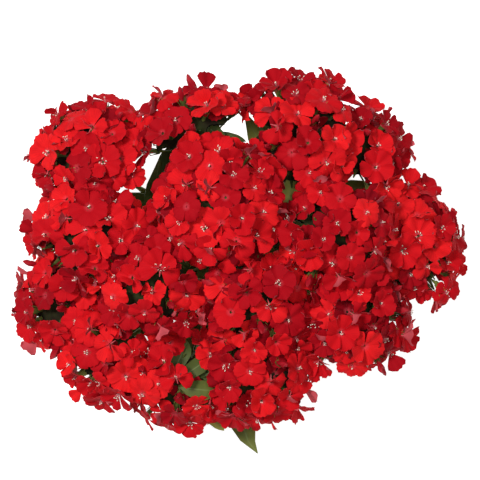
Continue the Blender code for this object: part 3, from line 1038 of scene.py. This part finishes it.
def stem_route(head, steps):
    stand = stand_of(head)
    start = stand + UP * (SOIL_TOP + STEM_COLLAR)
    end = head.place(UP * (head.base - CUP_HEIGHT))
    pull = (end - start).length * STEM_PULL
    out = start + UP * pull
    back = end - head.axis * pull
    points = [stand + UP * (SOIL_TOP - HOLE_DEPTH + GAP)]
    for i in range(steps + 1):
        t = i / steps
        s = 1 - t
        points.append(s**3 * start + 3 * s * s * t * out + 3 * s * t * t * back + t**3 * end)
    return points


def inner_radius(z):
    slope = (POT_NECK_RADIUS - POT_BASE_RADIUS) / (POT_HEIGHT - POT_RIM_HEIGHT)
    return POT_BASE_RADIUS + slope * z - POT_WALL


def near_pot(point):
    out = math.hypot(point.x, point.y)
    inside = out < inner_radius(POT_HEIGHT) - POT_CLEARANCE
    above = point.z > (SOIL_TOP if inside else POT_HEIGHT) + POT_CLEARANCE
    return not above and out < POT_RIM_RADIUS + POT_CLEARANCE


def blocks(head, point):
    """Whether a leaf at this point would touch the head"""
    local = head.turn.transposed() @ (point - head.middle)
    out = math.hypot(local.x, local.y)
    wide = head.wide + HEAD_MARGIN
    if local.z > 0:
        return (out / wide) ** 2 + (local.z / (head.high + HEAD_MARGIN)) ** 2 < 1
    if local.z > -HEAD_SKIRT:
        return out < wide
    return local.z > head.base - CUP_HEIGHT and out < head.wide * CUP_SHARE


# %% A leaf's line and outline
class Leaf:
    """A narrow leaf on an arched rib from root to tip"""

    def __init__(self, axis_point, tip, half_width, stations=LEAF_STATIONS):
        way = Vector((tip.x - axis_point.x, tip.y - axis_point.y, 0)).normalized()
        self.root = axis_point + way * (STEM_RADIUS - LEAF_SUNK)
        self.tip = tip
        self.half_width = half_width
        self.stations = stations
        arch = UP * (tip - self.root).length * LEAF_ARCH
        self.crest = self.root.lerp(tip, LEAF_CREST) + arch

    def section(self, t):
        """The rib's point, the way across and the way up at a share t of its length"""
        s = 1 - t
        point = s * s * self.root + 2 * s * t * self.crest + t * t * self.tip
        along = (s * (self.crest - self.root) + t * (self.tip - self.crest)).normalized()
        across = along.cross(UP).normalized()
        return point, across, across.cross(along)

    def share_at(self, t):
        places = self.stations + [(1.0, 0.0)]
        for (start, low), (end, high) in zip(places, places[1:]):
            if t <= end:
                return low + (high - low) * (t - start) / (end - start)

    def samples(self):
        spread = []
        for i in range(1, LEAF_SAMPLES + 1):
            t = i / LEAF_SAMPLES
            point, across, above = self.section(t)
            side = across * self.half_width * self.share_at(t)
            for j in range(LEAF_ROWS):
                spread.append(point + side * (2 * j / (LEAF_ROWS - 1) - 1))
        return spread


# %% Remember what stands where
class Garden:
    """What stands where, so that new leaves are bent clear of it"""

    def __init__(self):
        self.points = []
        self.owners = []

    def add(self, points, owner):
        self.points += points
        self.owners += [owner] * len(points)
        self.tree = KDTree(len(self.points))
        for i, point in enumerate(self.points):
            self.tree.insert(point, i)
        self.tree.balance()

    def free(self, leaf, owner):
        for point in leaf.samples()[LEAF_ROWS:]:
            if near_pot(point) or any(blocks(head, point) for head in heads):
                return False
            at_root = (point - leaf.root).length < LEAF_ROOT_ZONE
            for place, i, distance in self.tree.find_range(point, LEAF_CLEARANCE):
                if self.owners[i] != owner or not at_root:
                    return False
        return True


# %% Search where the leaves lie
def fitted_leaf(garden, owner, root, azimuth, length, half_width):
    for share in LEAF_SHARES:
        for lift in LEAF_LIFTS:
            for turn in LEAF_TURNS:
                angle = azimuth + math.radians(turn)
                rise = math.radians(lift)
                way = Vector((math.cos(angle), math.sin(angle), 0)) * math.cos(rise)
                tip = root + (way + UP * math.sin(rise)) * length * share
                leaf = Leaf(root, tip, half_width * math.sqrt(share))
                if garden.free(leaf, owner):
                    return leaf
    return None


def all_leaves():
    lengths = random.Random(SEED)
    garden = Garden()
    leaves = {number: [] for number in range(1, len(heads) + 1)}
    routes = {}
    for number, head in enumerate(heads, 1):
        routes[number] = stem_route(head, ROUTE_STEPS)
        garden.add(routes[number], number)
    for number, share, tip, half_width in REACHING_LEAVES:
        root = routes[number][1 + round(ROUTE_STEPS * share)]
        leaf = Leaf(root, Vector(tip) * MM, half_width * MM, BROAD_STATIONS)
        leaves[number].append(leaf)
        garden.add(leaf.samples(), number)
    for share, turn in LEAF_PAIRS:
        for number, head in enumerate(heads, 1):
            root = routes[number][1 + round(ROUTE_STEPS * share)]
            first = math.atan2(head.middle.y, head.middle.x) + math.radians(turn + FIRST_PAIR_TURN)
            for azimuth in (first, first + math.pi):
                length = LEAF_LENGTH * lengths.uniform(0.85, 1.1)
                leaf = fitted_leaf(garden, number, root, azimuth, length, LEAF_HALF_WIDTH)
                if leaf:
                    leaves[number].append(leaf)
                    garden.add(leaf.samples(), number)
    return leaves


leaves = all_leaves()
print(sum(map(len, leaves.values())), "leaves")

# %% [markdown]
# ## One leaf
#
# The leaves are narrow and pointed, folded along a pale rib, with a slight wave at the edge. Two
# flat leaves, a narrow and a broad one, are made from grids whose rows are stretched to the outline.
# Each copy is laid along its own rib in code, which also folds it and waves its edge, and Solidify
# thickens it. The broadest leaf ends in a tip curled aside. Nine bracts, small leaves that show in
# the openings, are bent in the same way and placed as listed.

# %% Model two flat leaves
# Bracts that show in the openings: head, root, tip, half width and tone
BRACTS = [
    (13, (-53, -93, 243), (-42, -68, 238), 7.5, 0.30),
    (13, (-52, -100, 246), (-22, -80, 241), 7.0, 0.40),
    (13, (-50, -104, 246), (-16, -108, 240), 8.0, 0.58),
    (13, (-46, -112, 236), (-17, -124, 224), 7.5, 0.46),
    (13, (-34, -112, 220), (-13, -142, 214), 6.5, 1.0),
    (14, (-2, -102, 242), (-34, -91, 240), 6.5, 0.24),
    (2, (-33, 110, 232), (-10, 89, 228), 5.5, 0.27),
    (2, (-17, 100, 222), (5, 92, 220), 2.6, 0.22),
    (3, (42, 66, 240), (37, 36, 252), 6.5, 0.97),
]
LEAF_COLUMNS = 6
LEAF_LENGTHS = 12
LEAF_THICKNESS = 0.6 * MM
LEAF_FOLD = 0.30
LEAF_WAVE = 0.07
# The curled tip: its pull, where it starts along the leaf, the leaf's slide and least half width
HOOK = Vector((330, 20, 120)) * MM
HOOK_START = 0.8
HOOK_SLIDE = Vector((-3.5, 0, 0)) * MM
HOOKED_WIDTH = 12 * MM
OTHER_TONES = (0.2, 0.75)


def flat_leaf(name, stations):
    """A leaf of length 1 along +Y and half width up to 1 along X, without fold or thickness"""
    bpy.ops.mesh.primitive_grid_add(x_subdivisions=LEAF_COLUMNS, y_subdivisions=LEAF_LENGTHS, size=2)
    piece = named(name)
    edit(piece)
    everything = range(len(piece.data.vertices))
    shift(piece, everything, (0, 1, 0))
    stretch(piece, everything, (1, 0.5, 1))
    pattern = Leaf(Vector((0, 0, 0)), Vector((1, 0, 0)), 1, stations)
    for row in range(LEAF_LENGTHS + 1):
        t = row / LEAF_LENGTHS
        numbers = range(row * (LEAF_COLUMNS + 1), (row + 1) * (LEAF_COLUMNS + 1))
        share = max(pattern.share_at(t), 0.02)
        smooth = share * (0.94 + 0.06 * math.sin(math.pi * t))
        stretch(piece, numbers, (smooth, 1, 1))
    leave_edit()
    return piece


leaf_models = {
    len(LEAF_STATIONS): flat_leaf("leaf_narrow", LEAF_STATIONS),
    len(BROAD_STATIONS): flat_leaf("leaf_broad", BROAD_STATIONS),
}
print("a flat leaf has", triangles(leaf_models[len(LEAF_STATIONS)]), "triangles")


# %% Bend a leaf along its rib
def bent_leaf(leaf, tone):
    """A copy of the flat leaf along this leaf's rib. The broadest one has a tip curled aside."""
    hooked = leaf.half_width > HOOKED_WIDTH
    piece = copy_of(leaf_models[len(leaf.stations)], Matrix.Identity(4))
    phase = draw.uniform(0, math.tau)
    for vertex in piece.data.vertices:
        across, t = vertex.co.x, vertex.co.y
        point, side, above = leaf.section(t)
        fold = LEAF_FOLD * abs(across) ** 1.3
        wave = LEAF_WAVE * across * abs(across) * math.sin(9 * t + phase)
        high = (fold + wave) * leaf.half_width
        vertex.co = point + side * across * leaf.half_width + above * high
        if hooked:
            vertex.co += HOOK * max(0, t - HOOK_START) ** 2 + HOOK_SLIDE * t
    thicken(piece, LEAF_THICKNESS)
    add_float(piece, "tone", tone)
    add_float(piece, "leaf", 1.0)
    return piece


def leaf_tone(leaf):
    """How light a leaf is: as listed for those that reach between the heads, else by chance"""
    for (number, share, tip, half_width), tone in zip(REACHING_LEAVES, REACHING_TONES):
        if (leaf.tip - Vector(tip) * MM).length < MM:
            return tone
    return draw.uniform(*OTHER_TONES)


# %% [markdown]
# ## One stem
#
# A dianthus stem is round and swells at each knot, where a pair of leaves grows. It could be
# extruded ring by ring. A curve with a round bevel is simpler here, because each of its points has
# a radius of its own. It follows the source's route and ends where the florets' stalks part.

# %% Model a stem
STEM_SLIM = 0.82  # of the source's radius, between the knots
KNOT_SWELL = 0.30
STEM_TAPER = 0.12


def stem_rod(head):
    """The round stem, thicker where a pair of leaves grows"""
    route = stem_route(head, ROUTE_STEPS)
    curve = bpy.data.curves.new("stem", "CURVE")
    curve.dimensions = "3D"
    curve.bevel_depth = 1
    curve.bevel_resolution = 2
    curve.use_fill_caps = True
    spline = curve.splines.new("POLY")
    inside = route[-1] + head.axis * CUP_HEIGHT * 0.3
    points = [route[0]] + route[1::2] + [inside]
    spline.points.add(len(points) - 1)
    knots = [1 + round(ROUTE_STEPS * share) for share, turn in LEAF_PAIRS]
    for i, (place, point) in enumerate(zip(spline.points, points)):
        along = max(0, 2 * i - 1)
        near = min(abs(along - knot) for knot in knots)
        place.co = (*point, 1)
        swell = KNOT_SWELL if near < 1.2 else 0.0
        place.radius = STEM_RADIUS * (STEM_SLIM + swell - STEM_TAPER * i / len(points))
    piece = bpy.data.objects.new("stem", curve)
    bpy.context.scene.collection.objects.link(piece)
    take(piece)
    bpy.ops.object.convert(target="MESH")
    bpy.ops.object.mode_set(mode="EDIT")
    bpy.ops.mesh.select_all(action="SELECT")
    bpy.ops.mesh.remove_doubles(threshold=0.01 * MM)
    bpy.ops.mesh.normals_make_consistent(inside=False)
    leave_edit()
    add_float(piece, "tone", draw.uniform(0.4, 0.8))
    return piece


# %% [markdown]
# ## Green finish
#
# Leaves, stems, calyces and the hearts share one finish. A tone on each part runs from the brown
# black of a heart, which is painted shade, to the yellow green of a leaf in the sun, and dark parts
# are duller. Only leaves have the pale rib in the middle, so a second value marks them.

# %% The material of the greens
# From the brown black of the painted shade inside a head to a young leaf
GREENS = [
    (0.0, (0.016, 0.010, 0.005)),
    (0.25, (0.060, 0.084, 0.018)),
    (0.7, (0.165, 0.190, 0.040)),
    (1.0, (0.340, 0.350, 0.080)),
]


def green_material():
    made, tree, shader = new_material("dianthus_green", 0.5, 0.2)
    uv, across, _ = uv_place(tree)
    tone = attribute(tree, "tone")
    patch = ramp(tree, noise(tree, object_place(tree), 70), [(0.4, 0.0), (0.7, 0.5)])
    patchy = mixed(tree, patch, ramp(tree, tone, GREENS), (0.045, 0.070, 0.016, 1))
    rib = ramp(tree, across, [(0.45, 0.0), (0.49, 0.45), (0.51, 0.45), (0.55, 0.0)])
    on_leaf = add_node(tree, "ShaderNodeMath", operation="MULTIPLY")
    tree.links.new(rib, on_leaf.inputs[0])
    tree.links.new(attribute(tree, "leaf"), on_leaf.inputs[1])
    ribbed = mixed(tree, on_leaf.outputs[0], patchy, (0.22, 0.29, 0.10, 1))
    tree.links.new(ribbed, shader.inputs["Base Color"])
    tree.links.new(ramp(tree, tone, [(0.0, 1.0), (0.25, 0.55)]), shader.inputs["Roughness"])
    bump(tree, shader, noise(tree, scaled(tree, uv, (40, 3, 1)), 1.0, 2.0), 0.3, 0.2 * MM)
    return made


green_look = green_material()
print("material", green_look.name)

# %% [markdown]
# ## The heart of a head
#
# Between the florets one looks into the inside of the head, where closed calyces and bracts stand
# close together in shade. A dome is cut from a sphere and roughened, and green tips are stuck in it;
# the dome is coloured brown black, which is painted shade. It lies 4 mm deeper than the source's
# core. Where an opening of the plant passes a heart, upright cylinders cut it away.

# %% Numbers and a green tip for the hearts
HEART_DEPTH = 11 * MM
HEART_GRAIN = 240
HEART_ROUGH = 2.4  # millimetres
TIP_CELL = 105 * MM * MM
TIP_REACH = 1.15  # how far down the tips stand, as a share of the dome's height
TIP_SIZES = (0.7, 1.15)
TIP_TONES = (0.1, 0.7)
OPENING_MARGIN = 2  # millimetres, between an opening and a heart


def green_tip():
    """A closed calyx, pointing up"""
    bpy.ops.mesh.primitive_cone_add(
        vertices=6, radius1=1.9 * MM, radius2=0.5 * MM, depth=11 * MM, location=(0, 0, 2.5 * MM)
    )
    piece = named("green_tip")
    bpy.ops.object.transform_apply()
    return piece


tip_model = green_tip()
print("a green tip has", triangles(tip_model), "triangles")


# %% Model a heart, with its openings
def blocks_view(point, margin):
    """Whether a point stands in an opening through which one sees past the plant"""
    return any(from_opening(point, row).length < row[4] * MM + margin for row in SEE_THROUGH)


def cut_openings(dome, head):
    """Cuts the openings that reach this heart, with upright cylinders along their middle line"""
    for row in SEE_THROUGH:
        radius = (row[4] + OPENING_MARGIN) * MM
        if from_opening(head.middle, row).length > head.wide + radius:
            continue
        steps = 1 + round((Vector(row[:2]) - Vector(row[2:4])).length * MM / radius)
        for i in range(steps + 1):
            place = (Vector(row[:2]).lerp(Vector(row[2:4]), i / steps) * MM).to_3d()
            bpy.ops.mesh.primitive_cylinder_add(
                vertices=12, radius=radius, depth=0.2, location=place + UP * head.middle.z
            )
            cutter = named("opening")
            cut = dome.modifiers.new("opening", "BOOLEAN")
            cut.object = cutter
            apply_all(dome)
            discard([cutter])


def heart(head):
    """The rough dome inside one head, with its green tips"""
    bpy.ops.mesh.primitive_ico_sphere_add(subdivisions=4, radius=1)
    dome = named("heart")
    edit(dome)
    bpy.ops.mesh.select_all(action="SELECT")
    wide = head.wide - HEART_DEPTH
    high = head.high - HEART_DEPTH
    bpy.ops.transform.resize(value=(wide, wide, high))
    bpy.ops.mesh.bisect(
        plane_co=(0, 0, head.base), plane_no=(0, 0, -1), clear_outer=True, use_fill=True
    )
    leave_edit()
    for vertex in dome.data.vertices:
        rough = noise_at(vertex.co * HEART_GRAIN) * HEART_ROUGH * MM
        vertex.co += vertex.normal * rough
    dome.matrix_world = Matrix.Translation(head.middle) @ head.turn.to_4x4()
    cut_openings(dome, head)
    # Tone 0 colours the dome brown black: painted shade in the depth of the head
    add_float(dome, "tone", 0.0)
    pieces = [dome]
    count = round(2 * math.pi * wide * high / TIP_CELL)
    for i in range(count):
        z = 1 - TIP_REACH * (i + 0.5) / count
        ring = math.sqrt(1 - z * z)
        turn = i * GOLDEN_TURN
        out = Vector((wide * ring * math.cos(turn), wide * ring * math.sin(turn), high * z))
        if blocks_view(head.place(out), 3 * MM):
            continue
        lean = out.normalized() + Vector((draw.uniform(-1, 1), draw.uniform(-1, 1), 1)) * 0.25
        turned = (head.turn @ turn_to(lean.normalized())).to_4x4()
        matrix = Matrix.Translation(head.place(out)) @ turned
        tip = copy_of(tip_model, matrix @ Matrix.Scale(draw.uniform(*TIP_SIZES), 4))
        add_float(tip, "tone", draw.uniform(*TIP_TONES))
        pieces.append(tip)
    return pieces


# %% Put the greens of each head together
for number, head in enumerate(heads, 1):
    pieces = [stem_rod(head)]
    pieces += green_parts(florets[number - 1])
    pieces += heart(head)
    pieces += [bent_leaf(leaf, leaf_tone(leaf)) for leaf in leaves[number]]
    for owner, root, tip, half_width, tone in BRACTS:
        if owner == number:
            bract = Leaf(Vector(root) * MM, Vector(tip) * MM, half_width * MM, BROAD_STATIONS)
            pieces.append(bent_leaf(bract, tone))
    piece = joined(f"greens_{number:02d}", pieces)
    take(piece)
    bpy.ops.object.shade_smooth_by_angle(angle=math.radians(45))
    finish_piece(piece, green_look, "leaf_green", f"stem_{number:02d}")
discard([*leaf_models.values(), calyx_model, rod_model, tip_model])

# %% [markdown]
# ## The pot
#
# The photo shows no pot, since it looks straight down on the flowers, so this is a guess: the plain
# round clay pot that such a plant is sold in. It could be a turned profile. By hand it is a short
# cone whose top face is extruded outwards for the shoulder, up for the rim, inwards over the wall
# and down for the inside. Bevel rounds its edges, and four cylinders cut the drain holes.

# %% Model the pot
POT_SIDES = 96
POT_RIM_TAPER = 1.5 * MM
POT_EDGE = 1.6 * MM
DRAIN_HOLES = 4
DRAIN_RADIUS = 5 * MM
DRAIN_RING = 30 * MM
shoulder = POT_HEIGHT - POT_RIM_HEIGHT
bpy.ops.mesh.primitive_cone_add(
    vertices=POT_SIDES,
    radius1=POT_BASE_RADIUS,
    radius2=POT_NECK_RADIUS,
    depth=shoulder,
    location=(0, 0, shoulder / 2),
)
pot = named("clay_pot")
take(pot)
bpy.ops.object.transform_apply()
edit(pot)
pick_top(pot)
extrude_to(POT_RIM_RADIUS - POT_RIM_TAPER, 0, POT_NECK_RADIUS)
extrude_to(POT_RIM_RADIUS, POT_RIM_HEIGHT, POT_RIM_RADIUS - POT_RIM_TAPER)
extrude_to(inner_radius(POT_HEIGHT), 0, POT_RIM_RADIUS)
extrude_to(inner_radius(POT_FLOOR), POT_FLOOR - POT_HEIGHT, inner_radius(POT_HEIGHT))
leave_edit()
print("the turned body has", triangles(pot), "triangles")

# %% Round the pot's edges and cut its drain holes
rounded = pot.modifiers.new("rounded", "BEVEL")
rounded.width = POT_EDGE
rounded.segments = 3
rounded.limit_method = "ANGLE"
rounded.angle_limit = math.radians(40)
cutters = []
for i in range(DRAIN_HOLES):
    angle = math.tau * (i + 0.5) / DRAIN_HOLES
    bpy.ops.mesh.primitive_cylinder_add(
        vertices=24,
        radius=DRAIN_RADIUS,
        depth=4 * POT_FLOOR,
        location=(DRAIN_RING * math.cos(angle), DRAIN_RING * math.sin(angle), 0),
    )
    cutter = named("drain")
    cut = pot.modifiers.new("drain", "BOOLEAN")
    cut.object = cutter
    cutters.append(cutter)
apply_all(pot)
discard(cutters)
take(pot)
bpy.ops.object.shade_smooth_by_angle(angle=math.radians(35))
print(DRAIN_HOLES, "drain holes")

# %% [markdown]
# ## Clay finish
#
# Fired clay is dull, with faint bands from the wheel, fine grit and a few chalky patches where lime
# has come through. The bands are a noise that is stretched along the ground, so that it changes
# quickly with height and slowly round the pot.


# %% The material of the pot
def clay_material():
    made, tree, shader = new_material("terracotta", 0.85, 0.2)
    place = object_place(tree)
    bands = noise(tree, scaled(tree, place, (9, 9, 90)), 1.0, 4.0)
    speck = noise(tree, place, 700, 3.0)
    chalk = noise(tree, place, 22, 5.0)
    base = mixed(tree, bands, (0.50, 0.185, 0.090, 1), (0.40, 0.140, 0.070, 1))
    dotted = mixed(tree, ramp(tree, speck, [(0.60, 0.0), (0.72, 0.5)]), base, (0.30, 0.10, 0.055, 1))
    chalky = mixed(tree, ramp(tree, chalk, [(0.54, 0.0), (0.75, 0.5)]), dotted, (0.62, 0.42, 0.33, 1))
    tree.links.new(chalky, shader.inputs["Base Color"])
    bump(tree, shader, mixed(tree, 0.5, bands, speck), 0.35, 0.4 * MM)
    return made


finish_piece(pot, clay_material(), "fired_clay", "pot")

# %% [markdown]
# ## The soil
#
# The pot is filled with a dark mix of peat and bark. Its body is a short cone whose top face is inset
# ring by ring and roughened in code. Crumbs and a few white grains lie half sunk on it.

# %% Model the soil's body
SOIL_RINGS = 22
SOIL_RING = 2.6 * MM
soil_radius = inner_radius(SOIL_TOP) - GAP
soil_bottom = POT_FLOOR + GAP
bpy.ops.mesh.primitive_cone_add(
    vertices=64,
    radius1=inner_radius(soil_bottom) - 2 * GAP,
    radius2=soil_radius,
    depth=SOIL_TOP - soil_bottom,
    location=(0, 0, (SOIL_TOP + soil_bottom) / 2),
)
soil = named("soil_body")
take(soil)
bpy.ops.object.transform_apply()
edit(soil)
pick_top(soil)
for ring in range(SOIL_RINGS):
    bpy.ops.mesh.inset(thickness=SOIL_RING)
leave_edit()
for vertex in soil.data.vertices:
    if vertex.co.z > SOIL_TOP - MM:
        out = Vector((vertex.co.x, vertex.co.y, 0)).length
        calm = max(0.0, 1 - out / soil_radius)
        rough = noise_at(vertex.co * 90) * 1.6 + noise_at(vertex.co * 300) * 1.2
        vertex.co.z += (rough * min(1, calm * 9) - 0.8) * MM
add_float(soil, "tone", 0.0)
print("the soil's body has", triangles(soil), "triangles")

# %% Scatter crumbs and grains
CRUMBS = 420
GRAINS = 46
CRUMB_SIZES = (0.8, 2.4)  # radii in millimetres
GRAIN_SIZES = (0.8, 1.5)
bpy.ops.mesh.primitive_ico_sphere_add(subdivisions=1, radius=1)
crumb_model = named("crumb")
for vertex in crumb_model.data.vertices:
    vertex.co *= 1 + 0.35 * noise_at(vertex.co * 3)
pieces = [soil]
for i in range(CRUMBS + GRAINS):
    out = (soil_radius - 3 * MM) * math.sqrt(draw.random())
    angle = draw.uniform(0, math.tau)
    size = draw.uniform(*(CRUMB_SIZES if i < CRUMBS else GRAIN_SIZES)) * MM
    place = Vector((out * math.cos(angle), out * math.sin(angle), SOIL_TOP - 0.6 * MM))
    turn = Matrix.Rotation(draw.uniform(0, math.tau), 4, Vector((draw.random(), 1, draw.random())))
    scale = Matrix.Diagonal((size, size * draw.uniform(0.5, 0.9), size * 0.7, 1))
    crumb = copy_of(crumb_model, Matrix.Translation(place) @ turn @ scale)
    add_float(crumb, "tone", draw.uniform(0.1, 0.6) if i < CRUMBS else 1.0)
    pieces.append(crumb)
discard([crumb_model])
soil = joined("soil_mix", pieces)
print(len(pieces) - 1, "crumbs and grains")

# %% The material of the soil
# Wet peat, two barks and the white grains
EARTHS = [
    (0.0, (0.018, 0.012, 0.008)),
    (0.6, (0.075, 0.040, 0.020)),
    (0.9, (0.10, 0.055, 0.03)),
    (1.0, (0.62, 0.58, 0.50)),
]


def soil_material():
    made, tree, shader = new_material("peat_and_bark", 0.95, 0.15)
    kind = ramp(tree, attribute(tree, "tone"), EARTHS)
    grain = noise(tree, object_place(tree), 600, 4.0)
    dark = ramp(tree, grain, [(0.4, 0.0), (0.65, 0.6)])
    colour = mixed(tree, dark, kind, (0.030, 0.019, 0.012, 1))
    tree.links.new(colour, shader.inputs["Base Color"])
    bump(tree, shader, grain, 0.8, 0.6 * MM)
    return made


finish_piece(soil, soil_material(), "potting_soil", "soil")

# %% [markdown]
# ## Camera, floor and light
#
# The camera looks straight down, as in the photo. From its height a pixel is 0.78 mm wide at the
# level of the middle heads. The ground is a plain white floor, which shines a little so that it
# stays white under the plant. A small, strong lamp gives the petals their shadows, and a larger and
# weaker one fills them.

# %% The camera and the floor
CAMERA_HEIGHT = 1.72
CAMERA_LENS = 139.4
CAMERA_BACK = 0.0125  # along +Y, to put the plant where it is in the photo
bpy.ops.object.camera_add(location=(0, CAMERA_BACK, CAMERA_HEIGHT), rotation=(0, 0, 0))
camera = bpy.context.object
camera.data.lens = CAMERA_LENS
bpy.context.scene.camera = camera

bpy.ops.mesh.primitive_plane_add(size=80)
floor = named("floor")
floor_look, _, floor_shader = new_material("pale_floor", 0.9, 0.1)
floor_shader.inputs["Base Color"].default_value = (0.85, 0.85, 0.85, 1)
floor_shader.inputs["Emission Color"].default_value = (1, 1, 1, 1)
floor_shader.inputs["Emission Strength"].default_value = 0.85
floor.data.materials.append(floor_look)
print("camera", camera.location)


# %% The light
def area_light(name, place, size, power):
    bpy.ops.object.light_add(type="AREA", location=place)
    light = bpy.context.object
    light.name = name
    light.data.size = size
    light.data.energy = power
    light.rotation_euler = (Vector((0, 0, 0.2)) - Vector(place)).to_track_quat("-Z", "Y").to_euler()


area_light("key", (-0.8, 0.4, 2.1), 0.4, 30)
area_light("overhead", (0.3, 0.1, 2.4), 0.8, 15.5)
world = bpy.data.worlds.new("studio")
world.use_nodes = True
world.node_tree.nodes["Background"].inputs["Color"].default_value = (1, 1, 1, 1)
world.node_tree.nodes["Background"].inputs["Strength"].default_value = 0.06
bpy.context.scene.world = world
bpy.context.scene.view_settings.view_transform = "Standard"
print("two lamps and a dim white sky")
